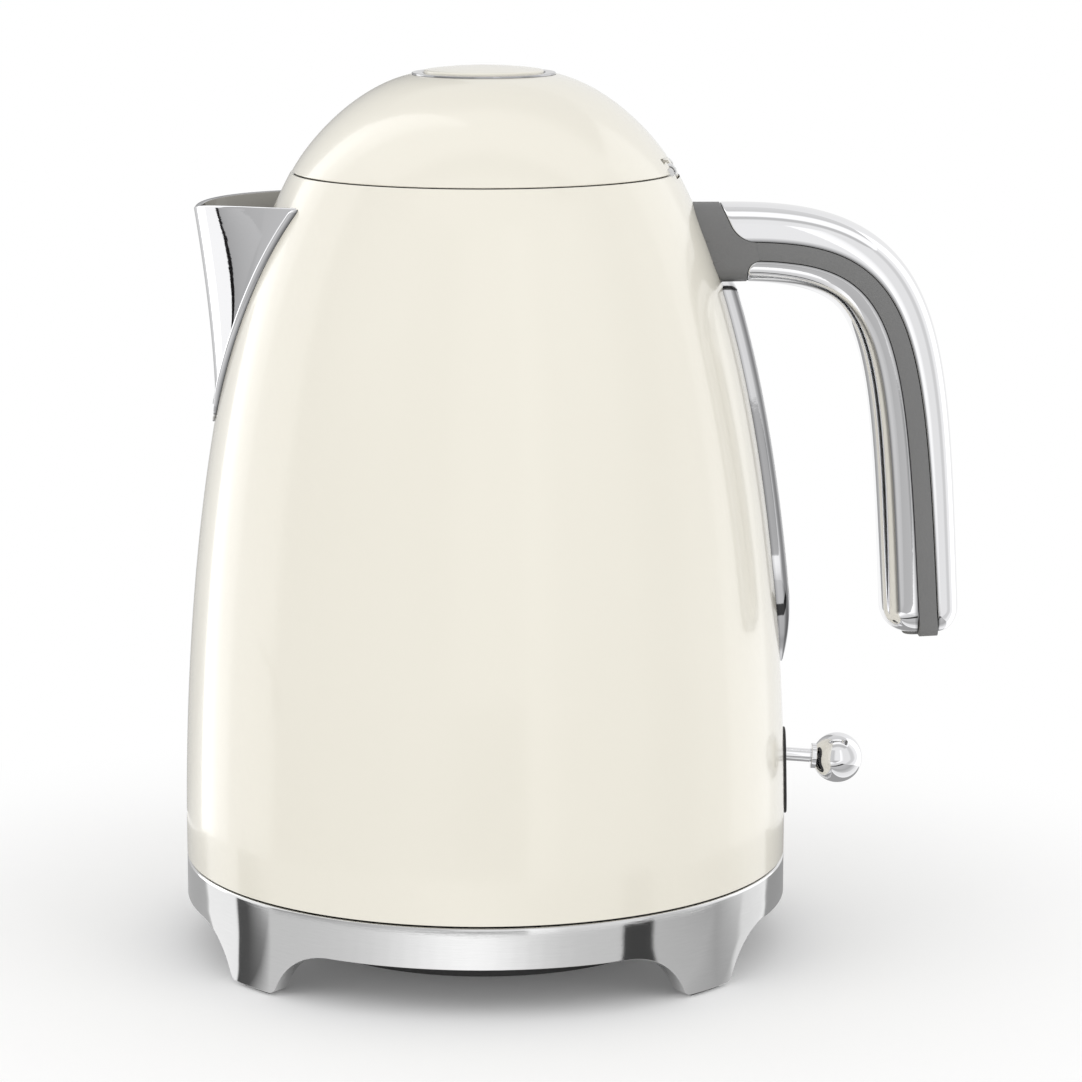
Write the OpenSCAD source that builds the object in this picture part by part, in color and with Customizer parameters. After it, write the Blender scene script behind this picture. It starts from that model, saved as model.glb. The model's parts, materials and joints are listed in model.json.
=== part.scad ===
// Cordless electric kettle on a round swivel base.
// Millimetres, +Z up. The origin is on the kettle's axis at the counter, and +X points to the handle.

/* [Body] */
// Outer radius of the body at its foot, and of the base ring
body_r = 85.5; // [82:0.5:90]
// How far the body bulges out above its foot
belly = 0.3; // [0:0.1:2]
// Height over which the lower flank stands upright
flank_lift = 29; // [20:1:45]
// Radius that the upper flank aims for before it turns in to the seam
shoulder_r = 84.2; // [78:0.2:88]
// Height of that turn below the lid seam
shoulder_drop = 55.4; // [45:0.2:65]
// Outer radius of the body at the lid seam
seam_r = 53.8; // [53:0.1:58]
// Height of the lid seam above the counter
seam_z = 219.9; // [212:0.1:230]
// Sheet thickness of the body
body_wall = 1.2; // [0.8:0.1:2]

/* [Lid] */
// Gap between the body's edge and the lid's edge
seam_gap = 0.4; // [0.3:0.1:1]
// Step inwards from the body's edge to the lid's edge
lid_inset = 0.5; // [0.2:0.1:1]
// Rise of the dome from the seam to the button ring
lid_rise = 26.5; // [24:0.1:32]
// Sheet thickness of the lid
lid_wall = 1.2; // [0.8:0.1:2]
// Opening radius of the mouth under the lid
mouth_r = 47.5; // [45:0.5:48]
// Height of the mouth collar
collar_h = 6.1; // [5.5:0.1:7]

/* [Button] */
// Outer radius of the ring around the button
ring_r = 20; // [18.5:0.1:21]
// Radius of the push button
button_r = 16.7; // [15:0.1:17]
// Height of the button's edge above the ring
button_lip = 0.6; // [0.2:0.1:1]
// Doming of the button's face
button_dome = 1.2; // [0.5:0.1:2]
// Travel of the button, and of the latch bolt that it draws back
button_travel = 3; // [2:0.5:3]

/* [Base] */
// Height of the base ring's upper edge
ring_top = 25.8; // [24:0.1:30]
// Height of the arches between the feet
arch_z = 14.2; // [13:0.1:16]
// Wall thickness of the base ring
ring_wall = 3; // [2.5:0.1:4]
// Gap between the base ring and the body
base_gap = 0.5; // [0.3:0.1:1]
// Half width of a foot at the counter
foot_half = 8.9; // [7:0.1:11]
// Radial thickness of a foot
foot_depth = 5.5; // [5:0.1:9]
// Angle of the front feet from the handle's axis
foot_angle = 42.5; // [38:0.5:50]
// How far the base is turned under the kettle
base_turn = -1.6; // [-5:0.1:5]
// Bore of the cord gland
cord_bore = 7.2; // [6:0.1:8]

/* [Handle] */
// Height of the handle's centre line where it leaves the body
handle_z = 200; // [197:0.5:201]
// Distance of the handle's lower end from the axis
handle_reach = 123.6; // [116:0.2:132]
// Height of the handle's lower end
handle_end_z = 88.6; // [75:0.2:110]
// Thickness of the handle, seen from the side
handle_thick = 22; // [20:0.5:24]
// Width of the handle across
handle_wide = 23; // [20:0.5:26]
// Width of the core's strip that shows between the shells
strip_w = 5.2; // [4:0.2:7]
// How far the strip drifts, from below the handle's centre line at the body to outside it at the end
strip_drift = 1.8; // [0:0.1:2.5]
// Sheet thickness of the handle shells
shell_wall = 1.1; // [0.8:0.1:1.5]

/* [Spout] */
// Distance of the spout's tip from the axis
spout_reach = 80.9; // [79:0.1:86]
// Height of the spout's tip
spout_tip_z = 209.9; // [208.5:0.1:211]
// Height of the lips where they meet the body
spout_lip_z = 212.2; // [211.2:0.1:213.5]
// Height of the flange's lowest point
flange_z = 149.5; // [145:0.5:155]
// Half width of the flange near its lowest point
flange_half = 8; // [7:0.5:10]
// How much each side of the flange widens for each millimetre upwards
flange_flare = 0.36; // [0.32:0.01:0.38]
// Width of the flange
flange_w = 3.2; // [2.5:0.1:4]
// How far the flange stands off the body
flange_proud = 2; // [1.5:0.1:2.5]
// Sheet thickness of the spout
spout_wall = 1.2; // [1:0.1:1.6]

/* [Water gauge] */
// Height of the gauge's lower tip
gauge_low = 80; // [74:1:90]
// How far the gauge's upper end lies below the handle's centre line
gauge_drop = 12; // [12:0.5:20]
// Half width of the gauge frame
gauge_half = 9.5; // [8.5:0.5:11]
// How far the gauge stands off the body
gauge_proud = 4; // [3.5:0.1:5]
// Width of the gauge's rim
gauge_rim = 3; // [2.5:0.1:3.5]

/* [Switch] */
// Height of the lever's pivot
lever_z = 54.1; // [53:0.1:55]
// Distance of the lever's pivot inside the body's lower edge
lever_in = 19.5; // [18.5:0.5:21.5]
// Droop of the lever at rest
lever_droop = 4.2; // [2:0.1:6]
// Distance of the ball's centre beyond the body's lower edge
ball_out = 15.3; // [11.5:0.1:20.5]
// Radius of the ball
ball_r = 7.15; // [6:0.05:9]
// Radius of the lever's rod
stem_r = 1.9; // [1.5:0.1:2.1]

/* [Heater] */
// Height of the water's floor
floor_z = 64; // [62.5:0.5:68]
// Radius of the heating element's ring
element_r = 44; // [38:0.5:45]
// Radius of the element's tube
element_tube = 3.3; // [3:0.1:3.6]

/* [Hidden] */

round_fn = 128;     // facets that stand for a full turn in large round pieces
small_fn = 48;      // the same in pins, bores and screws
fit = 0.05;         // clearance between pieces that seat in or on each other
run_fit = 0.06;     // radial clearance of a pin in the bore that turns on it
soft_gap = 0.3;     // clearance of pieces that move past each other
eps = 0.01;         // overlap of shapes within one solid
curve_step = 4.5;   // longest straight step of a piece along the body's curve
lever_x = body_r - lever_in;
gauge_high = handle_z - gauge_drop;

// ---------- curves ----------

function bezier(p, t) =
    pow(1 - t, 3) * p[0] + 3 * pow(1 - t, 2) * t * p[1] + 3 * (1 - t) * t * t * p[2] + t * t * t * p[3];
function bezier_way(p, t) =
    let (v = pow(1 - t, 2) * (p[1] - p[0]) + 2 * (1 - t) * t * (p[2] - p[1]) + t * t * (p[3] - p[2]))
    v / norm(v);
function reverse(list) = [for (i = [len(list) - 1:-1:0]) list[i]];
function swap(list) = [for (p = list) [p[1], p[0]]];

// The body's and the lid's outlines, as radius and height
body_z = ring_top + base_gap;
body_path = [
    [body_r, body_z], [body_r + belly, body_z + flank_lift],
    [shoulder_r, seam_z - shoulder_drop], [seam_r, seam_z],
];
seam_way = bezier_way(body_path, 1);
lid_z = seam_z + seam_gap;
crown_z = lid_z + lid_rise;
lid_edge_r = seam_r - lid_inset;
lid_path = [
    [lid_edge_r, lid_z], [lid_edge_r, lid_z] + 10 * seam_way,
    [ring_r + 15.5, crown_z - 3.4], [ring_r, crown_z],
];
body_steps = 28;
lid_steps = 16;
body_line = [for (i = [0:body_steps]) bezier(body_path, i / body_steps)];
lid_line = [for (i = [0:lid_steps]) bezier(lid_path, i / lid_steps)];
body_table = swap(body_line);

// Outer radius of the body at a height, and its inner radius
function body_at(z) = lookup(z, body_table);
function body_slope(z) = (body_at(z + 1) - body_at(z - 1)) / 2;
function inner_at(z) = body_at(z) - body_wall * sqrt(1 + pow(body_slope(min(z, seam_z - 1)), 2));

// A line of points that follows the body at an offset, from one height to another
function body_offset(z0, z1, off) =
    let (n = max(2, ceil((z1 - z0) / curve_step))) [for (i = [0:n]) let (z = z0 + (z1 - z0) * i / n) [body_at(z) + off, z]];

// ---------- shared shapes ----------

// Skins loops of equal length into a closed solid; the end caps run in strips from one half of a loop to the other
module skin(loops) {
    n = len(loops[0]);
    last = (len(loops) - 1) * n;
    sides = [for (i = [0:len(loops) - 2], j = [0:n - 1])
        let (a = i * n + j, b = i * n + (j + 1) % n) each [[a, a + n, b + n], [a, b + n, b]]];
    caps = [for (j = [0:n / 2 - 2]) let (c = n - 2 - j, d = n - 1 - j) each [
        [j, j + 1, c], [j, c, d],
        [last + j, last + c, last + j + 1], [last + j, last + d, last + c],
    ]];
    polyhedron([for (loop = loops) each loop], concat(sides, caps));
}

// A ring of rectangular section
module tube(r_in, r_out, z0, z1, fn = round_fn) translate([0, 0, z0]) difference() {
    cylinder(r = r_out, h = z1 - z0, $fn = fn);
    translate([0, 0, -1]) cylinder(r = r_in, h = z1 - z0 + 2, $fn = fn);
}

// Cylinders along an axis of the frame, from one coordinate to another
module rod_z(r, z0, z1, fn = small_fn) translate([0, 0, z0]) cylinder(r = r, h = z1 - z0, $fn = fn);
module rod_x(r, x0, x1, fn = small_fn) rotate([0, 90, 0]) rod_z(r, x0, x1, fn);
module rod_y(r, y0, y1, fn = small_fn) rotate([-90, 0, 0]) rod_z(r, y0, y1, fn);

// A box between two corners
module block(low, high) translate(low) cube(high - low);

// A flat outline in Y and Z, extruded along X
module extrude_x(x0, x1) translate([x0, 0, 0]) rotate([90, 0, 90]) linear_extrude(x1 - x0) children();

// A part of a turned solid around +X, where outline is a list of radius and height
module turned_sector(outline, half_angle) rotate([0, 0, -half_angle])
    rotate_extrude(angle = 2 * half_angle, $fn = round_fn) polygon(outline);

// A spring wound around +Z from wire with six corners, twelve stations to a turn
module coil(r, wire, length, turns) skin([for (i = [0:12 * turns])
    let (z = wire + (length - 2 * wire) * i / (12 * turns))
    [for (k = [0:5]) let (d = r + wire * cos(60 * k)) [d * cos(30 * i), d * sin(30 * i), z + wire * sin(60 * k)]]
]);

// ---------- power base ----------

ring_in = body_r - ring_wall;
ledge_r = ring_in - 3.5;
deck_z = 20;            // underside of the deck plate
deck_top = 22.5;        // face that the kettle stands on
ledge_z = 17.5;         // underside of the ring's inner ledge
foot_z = 0.8;           // the feet's metal ends this far above the counter
pad_r = [body_r - foot_depth + 1.2, body_r - 1.6];
pad_depth = 1.5;
feet = [for (a = [foot_angle, 180 - foot_angle, 180 + foot_angle, -foot_angle]) a + base_turn];

// Half outline of a foot: rounded corner below, slanted side, hollow curve into the arch above
foot_slant = 60;
corner_r = 3;
hollow_r = 20;
hollow_x = foot_half + (arch_z + 0.2 - foot_z) / tan(foot_slant) + hollow_r * tan(foot_slant / 2);
foot_side = concat(
    [for (a = [-90:15:foot_slant - 90])
        [foot_half - corner_r * tan(foot_slant / 2) + corner_r * cos(a), foot_z - 0.1 + corner_r * (1 + sin(a))]],
    [for (a = [90 + foot_slant:-10:90]) [hollow_x + hollow_r * cos(a), arch_z + 0.1 - hollow_r * (1 - sin(a))]],
    [[hollow_x, arch_z + 5]]
);

module base_ring() color("silver") difference() {
    rotate_extrude($fn = round_fn) polygon([
        [body_r - foot_depth, foot_z], [body_r, foot_z], [body_r, ring_top - 0.6], [body_r - 0.6, ring_top],
        [ring_in, ring_top], [ring_in, deck_z], [ledge_r, deck_z], [ledge_r, ledge_z], [ring_in, ledge_z],
        [ring_in, arch_z - 0.2], [body_r - foot_depth, arch_z - 0.2],
    ]);
    difference() {
        tube(ring_in - 15, body_r + 10, -5, arch_z);
        for (a = feet) rotate([0, 0, a]) extrude_x(body_r / 2, body_r + 20)
            polygon(concat(foot_side, reverse([for (p = foot_side) [-p[0], p[1]]])));
    }
    for (a = feet) rotate([0, 0, a]) pad(pad_r[0] - soft_gap, pad_r[1] + soft_gap, 0, foot_z + pad_depth, 4.3);
}

module pad(r0, r1, z0, z1, half_angle)
    turned_sector([[r0, z0], [r1, z0], [r1, z1], [r0, z1]], half_angle);

module foot_pads() color("dimgray")
    for (a = feet) rotate([0, 0, a]) pad(pad_r[0], pad_r[1], 0, foot_z + pad_depth - fit, 4);

socket_r = 14.2;        // radius of the socket's tower
socket_top = 34;
socket_flange_r = 20;
post_r = 60;            // radius at which the base's screws stand
post_angles = [for (i = [0:3]) 45 + 90 * i];
cover_z = 14.3;         // underside of the base's bottom cover
cover_t = 2;
drum_r = 45;
drum_z = 4.2;

module base_deck() color("gray") difference() {
    union() {
        tube(socket_r + fit, ring_in - fit, deck_z + fit, deck_top);
        tube(socket_flange_r + fit, socket_flange_r + 2.5, cover_z + cover_t + fit, deck_z + 2 * fit);
        for (a = post_angles) rotate([0, 0, a]) translate([post_r, 0, 0])
            rod_z(4, cover_z + cover_t + fit, deck_z + 2 * fit);
    }
    for (a = post_angles) rotate([0, 0, a]) translate([post_r, 0, 0]) rod_z(1.5 + fit, cover_z, deck_z + 1);
}

module base_cover() color("dimgray") difference() {
    union() {
        tube(drum_r - 2, ring_in - fit - 0.5, cover_z, cover_z + cover_t);
        tube(ledge_r - 3, ring_in - 0.5, cover_z + cover_t - eps, ledge_z - fit);
        tube(drum_r - 2, drum_r, drum_z, cover_z + eps);
        tube(drum_r - 6, drum_r + 9, drum_z - 1.2, drum_z + 0.8);
        rod_z(drum_r - 1, cover_z, cover_z + cover_t, round_fn);
    }
    for (a = post_angles) rotate([0, 0, a]) translate([post_r, 0, 0]) {
        rod_z(1.5 + fit, cover_z - 1, cover_z + cover_t + 1);
        rod_z(3 + fit, cover_z - 1, cover_z + 0.8);
    }
    translate([0, 0, gland_z]) rod_y(gland_r + fit, drum_r - 6, drum_r + 10);
}

module base_screws() color("silver") for (a = post_angles) rotate([0, 0, a]) translate([post_r, 0, 0]) {
    rod_z(1.5, cover_z + 0.5, deck_z);
    rod_z(3, cover_z - 0.2, cover_z + 0.8 - fit);
}

gland_z = 9.6;
gland_r = cord_bore / 2 + 1.2;

module cord_gland() color("black") translate([0, 0, gland_z]) difference() {
    union() {
        rod_y(gland_r, drum_r - 5, drum_r + 8);
        translate([0, drum_r - 5, 0]) rod_y(gland_r, 0, 3 - 2 * fit);
    }
    rod_y(cord_bore / 2, drum_r - 6, drum_r + 9);
}

pin_r = 2.3;            // coupler's centre pin
blade_r = [8.4, 9.4];   // coupler's ring blade

module base_socket() color("dimgray") difference() {
    union() {
        rod_z(socket_flange_r, ledge_z, deck_z - 0, round_fn);
        rod_z(socket_r, deck_z - eps, socket_top - 1, round_fn);
        translate([0, 0, socket_top - 1]) cylinder(r1 = socket_r, r2 = socket_r - 1, h = 1, $fn = round_fn);
    }
    rod_z(pin_r + 1.3, deck_z + 1, socket_top + 1);
    tube(blade_r[0] - 1.3, blade_r[1] + 1, deck_z + 1, socket_top + 1);
}

module socket_contacts() color("gold") {
    tube(pin_r + soft_gap, pin_r + 1.3 - fit, deck_z + 1 + fit, socket_top - 3, small_fn);
    tube(blade_r[0] - 1.3 + fit, blade_r[0] - soft_gap, deck_z + 1 + fit, socket_top - 3);
}

// ---------- coupler between base and kettle ----------

skirt_r = 18;           // outer radius of the coupler's skirt
cup_z = 27.6;           // lower edge of the skirt
cup_top = 38;
flange_cz = [29.8, 31.2];

module kettle_coupler() color("black") difference() {
    union() {
        tube(socket_r + 0.5, skirt_r, cup_z, cup_top);
        tube(skirt_r - eps, skirt_r + 3.5, flange_cz[0], flange_cz[1]);
        rod_z(skirt_r - 1, socket_top + 1.5, cup_top, round_fn);
    }
    rod_z(pin_r + fit, socket_top, cup_top - 1);
    tube(blade_r[0] - fit, blade_r[1] + fit, socket_top, cup_top - 1);
}

module coupler_contacts() color("gold") {
    rod_z(pin_r, cup_z, cup_top - 1 - fit);
    tube(blade_r[0], blade_r[1], cup_z + 1, cup_top - 1 - fit);
}

// ---------- kettle: body ----------

handle_half = handle_thick / 2;
screw_zs = [handle_z + 5, handle_z - 5];
hinge_z = lid_z + 0.1;
hinge_x = lid_edge_r - 2.1;
knuckle_r = 3;
hinge_half = sqrt(pow(lid_edge_r, 2) - pow(hinge_x, 2)) + 0.4;
hinge_pin_r = 1.2;
slot_z = [39, 58];      // opening for the switch lever
slot_half = 2.7;

// The whole round outer shape, solid, that trims pieces flush with it
module outer_solid(off = 0) rotate_extrude($fn = round_fn) polygon(concat(
    [[0, body_z]], [for (p = body_line) p + [off, 0]], [for (p = lid_line) p + [off, 0]], [[0, crown_z]]
));

body_inner = [for (i = [0:body_steps])
    let (p = bezier(body_path, i / body_steps), v = bezier_way(body_path, i / body_steps))
    [p[0] - body_wall / abs(v[1]), p[1]]];

// A slot outline with round ends in Y and Z
module slot_outline(half, z0, z1) union() {
    translate([0, z0 + half]) circle(half, $fn = small_fn);
    translate([0, z1 - half]) circle(half, $fn = small_fn);
    translate([-half, z0 + half]) square([2 * half, z1 - z0 - 2 * half]);
}

module body_shell() color("ivory") difference() {
    rotate_extrude($fn = round_fn) polygon(concat(body_line, reverse(body_inner)));
    extrude_x(body_r - 15, body_r + 5) slot_outline(slot_half, slot_z[0], slot_z[1]);
    extrude_x(30, body_r + 5) gauge_leaf(gauge_half - gauge_rim - 2, 12, 6);
    rotate([0, 0, 180]) extrude_x(30, body_r + 5) spout_vee(flange_w + spout_wall + 0.5, 4);
    for (z = screw_zs) translate([0, 0, z]) rod_x(2.1, 40, body_r);
    translate([hinge_x, 0, hinge_z]) rod_y(knuckle_r + 0.4, -hinge_half, hinge_half);
}

foot_ring_r = [70, 74];
hold_r = 66;            // radius at which the bottom cover's screws stand
hold_angles = [60, 180, 300];
bottom_z = [body_z + 0.8, body_z + 3];
boss_top = bottom_z[1] + 4;

module bottom_cover() color("dimgray") difference() {
    union() {
        tube(skirt_r + soft_gap, inner_at(body_z + 2) - 0.2, bottom_z[0], bottom_z[1]);
        tube(foot_ring_r[0], foot_ring_r[1], deck_top + 0.1, bottom_z[0] + eps);
        for (a = hold_angles) rotate([0, 0, a]) translate([hold_r, 0, 0]) rod_z(5, bottom_z[1] - eps, boss_top);
        tube(inner_at(body_z + 2) - 2.5, inner_at(body_z + 2) - 0.2, bottom_z[1] - eps, bottom_z[1] + 7);
    }
    for (a = hold_angles) rotate([0, 0, a]) translate([hold_r, 0, 0]) {
        rod_z(1.5 + fit, bottom_z[0] - 1, boss_top + 1);
        rod_z(3 + fit, bottom_z[0] - 1, bottom_z[0] + 1.2);
    }
}

module bottom_screws() color("silver") for (a = hold_angles) rotate([0, 0, a]) translate([hold_r, 0, 0]) {
    rod_z(1.5, bottom_z[0] + 0.5, boss_top + 8);
    rod_z(3, bottom_z[0] - 0.2, bottom_z[0] + 1.2 - fit);
}

plate_r = inner_at(floor_z) - 1.9;
plate_t = 1;
plate_rim = 6;
steam_r = 57;           // distance of the steam tube from the axis
steam_angle = 25;
steam_od = 3.5;

module heater_plate() color("silver") difference() {
    union() {
        rod_z(plate_r, floor_z, floor_z + plate_t, round_fn);
        tube(plate_r - 1, plate_r, floor_z, floor_z + plate_rim);
        for (a = hold_angles) rotate([0, 0, a]) translate([hold_r, 0, 0]) rod_z(4, boss_top + fit, floor_z + eps);
    }
    for (a = hold_angles) rotate([0, 0, a]) translate([hold_r, 0, 0]) rod_z(1.5 + fit, boss_top - 1, boss_top + 12);
    rotate([0, 0, steam_angle]) translate([steam_r, 0, 0]) rod_z(steam_od + fit, floor_z - 1, floor_z + 3);
}

module plate_seal() color("white") difference() {
    rotate_extrude($fn = round_fn) polygon(concat(
        [[plate_r + fit, floor_z]], [for (z = [floor_z, floor_z + plate_rim]) [inner_at(z) - fit, z]],
        [[plate_r + fit, floor_z + plate_rim]]
    ));
}

spreader_r = element_r + element_tube + 3;
spreader_z = [floor_z - 3, floor_z - fit];
element_z = spreader_z[0] - element_tube - fit;
tail_angle = 24;

module heat_spreader() color("lightgray") rod_z(spreader_r, spreader_z[0], spreader_z[1], round_fn);

module heating_element() color("darkgray") translate([0, 0, element_z]) {
    rotate([0, 0, 180 + tail_angle]) rotate_extrude(angle = 360 - 2 * tail_angle, $fn = round_fn)
        translate([element_r, 0]) circle(element_tube, $fn = 24);
    for (s = [-1, 1]) rotate([0, 0, 180 + s * tail_angle]) translate([element_r, 0, 0]) {
        sphere(element_tube, $fn = 24);
        rod_z(element_tube, -10, 0, 24);
        rod_z(1.5, -15, -9);
    }
}

control_r = 24;
control_z = [cup_top + soft_gap, spreader_z[0] - 0.9];
switch_x = lever_x - 12;

module control_unit() color("whitesmoke") difference() {
    union() {
        rod_z(control_r, control_z[0], control_z[1], round_fn);
        block([control_r - 6, -9, control_z[0]], [switch_x, 9, element_z - element_tube - 3]);
    }
    for (s = [-1, 1]) translate([0, s * 11, 0]) rod_z(8.5, control_z[1] - 1, control_z[1] + 1);
}

module bimetal_discs() color("goldenrod") for (s = [-1, 1]) translate([0, s * 11, 0]) union() {
    rod_z(8, spreader_z[0] - fit - 0.6, spreader_z[0] - fit);
    rod_z(2, control_z[1] - 1 + fit, spreader_z[0] - fit - 0.5);
}

steam_z = [floor_z - 12, seam_z - 22];

module steam_tube() color("lightsteelblue") rotate([0, 0, steam_angle]) translate([steam_r, 0, 0])
    tube(steam_od - 1, steam_od, steam_z[0], steam_z[1], small_fn);

// ---------- kettle: water gauge ----------

// The gauge's outline, inset by rim: straight sides that close to a point below
function gauge_width(half, u) = half * (1 - pow(1 - min(1, u), 2));
module gauge_leaf(half, low = 0, high = 0) {
    z0 = gauge_low + low;
    z1 = gauge_high - high;
    tip = 34;
    side = [for (i = [0:10]) [gauge_width(half, i / 10) + 0.4, z0 + tip * i / 10]];
    polygon(concat(side, [[half + 0.4, z1], [-half - 0.4, z1]], reverse([for (p = side) [-p[0], p[1]]])));
}

// Outline of a layer on the body in the gauge, where the frame thins out to its lower tip
gauge_taper = 20;
function gauge_off(z) = gauge_proud * (0.2 + 0.8 * sin(90 * min(1, max(0, (z - gauge_low) / gauge_taper))));
function layer(z0, z1, off0, off1) = concat(body_offset(z0, z1, off0), reverse(body_offset(z0, z1, off1)));
gauge_face = [for (p = body_offset(gauge_low - 1, gauge_high + 1, 0)) p + [gauge_off(p[1]), 0]];

module gauge_frame() color("silver") difference() {
    intersection() {
        turned_sector(concat(body_offset(gauge_low - 1, gauge_high + 1, fit), reverse(gauge_face)), 15);
        extrude_x(30, body_r + 9) gauge_leaf(gauge_half);
    }
    extrude_x(30, body_r + 9) gauge_leaf(gauge_half - gauge_rim, 10, 3);
}

module gauge_window() color("lightgray") intersection() {
    turned_sector(layer(gauge_low, gauge_high, 1.1, 3), 12);
    extrude_x(30, body_r + 9) gauge_leaf(gauge_half - gauge_rim - fit - 0.05, 10.3, 3.3);
}

module gauge_seal() color("white") difference() {
    intersection() {
        turned_sector(layer(gauge_low, gauge_high, fit, 1.05), 12);
        extrude_x(30, body_r + 9) gauge_leaf(gauge_half - gauge_rim - fit - 0.05, 10.3, 3.3);
    }
    extrude_x(30, body_r + 9) gauge_leaf(gauge_half - gauge_rim - 2, 12, 6);
}

// ---------- kettle: spout ----------

flange_end_z = spout_lip_z - 0.3;

// Half width of the spout's outline, inset by cut, at a height: round at the bottom, then straight and flaring
function vee_half(cut, low, z) =
    let (half = flange_half - 0.55 * cut, r = 5, up = z - flange_z - low)
    up < r ? half * sqrt(max(0, 1 - pow(1 - up / r, 2))) : half + flange_flare * (up - r) + 0.36 * low;
module spout_vee(cut, low) {
    zs = [for (i = [0:5]) flange_z + low + 5 * (1 - cos(18 * i))];
    top = cut > flange_w ? flange_end_z - 4 : flange_end_z + (low > 0 ? 1 : 0);
    side = concat([for (z = zs) [vee_half(cut, low, z), z]], [[vee_half(cut, low, top), top]]);
    polygon(concat(side, reverse([for (p = side) [-p[0], p[1]]])));
}

// The flange thins out to its lower tip
flange_face = [for (p = body_offset(flange_z - 1, flange_end_z + 2, 0))
    p + [flange_proud * (0.3 + 0.7 * sin(90 * min(1, max(0, (p[1] - flange_z) / 14)))), 0]];

module spout_flange() color("silver") rotate([0, 0, 180]) difference() {
    intersection() {
        turned_sector(concat(body_offset(flange_z - 1, flange_end_z + 2, fit), reverse(flange_face)), 40);
        extrude_x(30, body_r + 5) spout_vee(0, 0);
    }
    extrude_x(30, body_r + 5) spout_vee(flange_w, 3.5);
}

// Front of the spout at a height
spout_foot = 4;         // height of the beak's lower end above the flange's
beak_low = flange_z + spout_foot;
ridge_z = flange_z + 6.5;
function ridge_at(z) = max(
    body_at(z) + flange_proud - 0.5,
    spout_reach - 5.2 + 5.2 * pow(max(0, z - ridge_z) / (spout_tip_z - ridge_z), 1.6)
);
// A level of the beak in plan: the nose lies between a parabola and an ellipse
function beak_line(v, cut, steps) = [for (i = [0:steps])
    let (
        a = -90 + 180 * i / steps,
        lip = spout_lip_z - (spout_lip_z - spout_tip_z) * pow(1 - abs(sin(a)), 2),
        z = beak_low + (lip - beak_low) * v,
        half = vee_half(flange_w, 3.5, z) - fit - cut,
        root = sqrt(pow(body_at(z) + fit, 2) - half * half),
        back = 0.7 * pow(sin(a), 2) + 0.3 * (1 - cos(a)),
        nose = max(ridge_at(z) - cut, root + 0.2)
    ) [-(nose + (root - nose) * back), half * sin(a), z]];
beak_levels = 12;
beak_steps = 18;

module spout_beak() color("silver") skin([for (i = [0:beak_levels])
    let (v = i == 0 ? 0.02 : i / beak_levels)
    concat(beak_line(v, 0, beak_steps), reverse(beak_line(v, spout_wall, beak_steps)))
]);

filter_off = 0.6;       // gap between the filter and the body's inner face
filter_z = [flange_z + 8, spout_lip_z - 4.5];

function inner_line(z0, z1, off) =
    [for (i = [0:8]) let (z = z0 + (z1 - z0) * i / 8) [inner_at(z) - off, z]];
module filter_layer(off0, off1) rotate([0, 0, 180]) turned_sector(concat(
    inner_line(filter_z[0] - 1, filter_z[1] + 1, off1), reverse(inner_line(filter_z[0] - 1, filter_z[1] + 1, off0))
), 45);
module filter_vee(grow) {
    side = [[5 + grow, filter_z[0] - grow], [24 + grow, filter_z[1] + grow]];
    polygon(concat(side, reverse([for (p = side) [-p[0], p[1]]])));
}

module filter_frame() color("silver") difference() {
    intersection() {
        filter_layer(filter_off, filter_off + 1.6);
        rotate([0, 0, 180]) extrude_x(20, body_r) filter_vee(0);
    }
    rotate([0, 0, 180]) extrude_x(20, body_r) filter_vee(-3);
}

module filter_mesh() color("gainsboro") difference() {
    intersection() {
        filter_layer(filter_off + 0.5, filter_off + 0.9);
        rotate([0, 0, 180]) extrude_x(20, body_r) filter_vee(-3 - fit);
    }
    for (row = [0:5], side = [-1:1]) rotate([0, 0, 180]) extrude_x(20, body_r)
        translate([side * (3 + row), filter_z[0] + 9 + row * 6.2]) circle(1.3, $fn = 16);
}

// ---------- kettle: handle ----------

handle_path = [
    [66, handle_z], [handle_reach - 3.6, handle_z + 1], [handle_reach - 4.6, handle_z - 19],
    [handle_reach, handle_end_z],
];
handle_b = handle_wide / 2;
strip_half = strip_w / 2;
end_r = 7;              // rounding of the handle's lower end
shell_end = 0.9;        // the shells end this far above the core
start_lean = 0.45;      // slant of the outer shell's upper end
start_set = 7;          // distance of the inner shell's upper end from the start of the path
handle_steps = 20;
arc_steps = 10;
square_up = 2 / 2.6;    // power that squares up the oval of the section

// Half of the handle's section, as distance along the path's normal and across; the strip's middle is at mid
function half_arc(h, b, side, mid) = [for (i = [0:arc_steps])
    let (a = -90 + 180 * i / arc_steps)
    [mid + side * (strip_half + (h - side * mid - strip_half) * pow(abs(cos(a)), square_up)),
        b * sign(sin(a)) * pow(abs(sin(a)), square_up)]];
function mid_at(t) = strip_drift * (2 * t - 1);

// Puts a section's points at a place on the path; ahead moves the upper ends' slant along the path
function upper_end(d) = lookup(d, [
    [-strip_half - strip_drift, start_set], [strip_half - strip_drift, start_lean * (handle_half - strip_half + strip_drift)],
    [handle_half, 0],
]);
function placed(loop, t, ahead, back = 0) =
    let (c = bezier(handle_path, t), w = bezier_way(handle_path, t))
    [for (p = loop) let (s = ahead * upper_end(p[0]) - back)
        [c[0] + w[0] * s - w[1] * p[0], p[1], c[1] + w[1] * s + w[0] * p[0]]];

// Stations along the handle: path position, and how much of the upper ends' slant is left
end_length = norm(bezier(handle_path, 1) - bezier(handle_path, 0.97));
end_t = 1 - 0.03 * (end_r + shell_end) / end_length;
stations = [for (i = [0:handle_steps]) [end_t * i / handle_steps, max(0, 1 - i / 4)]];

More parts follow.
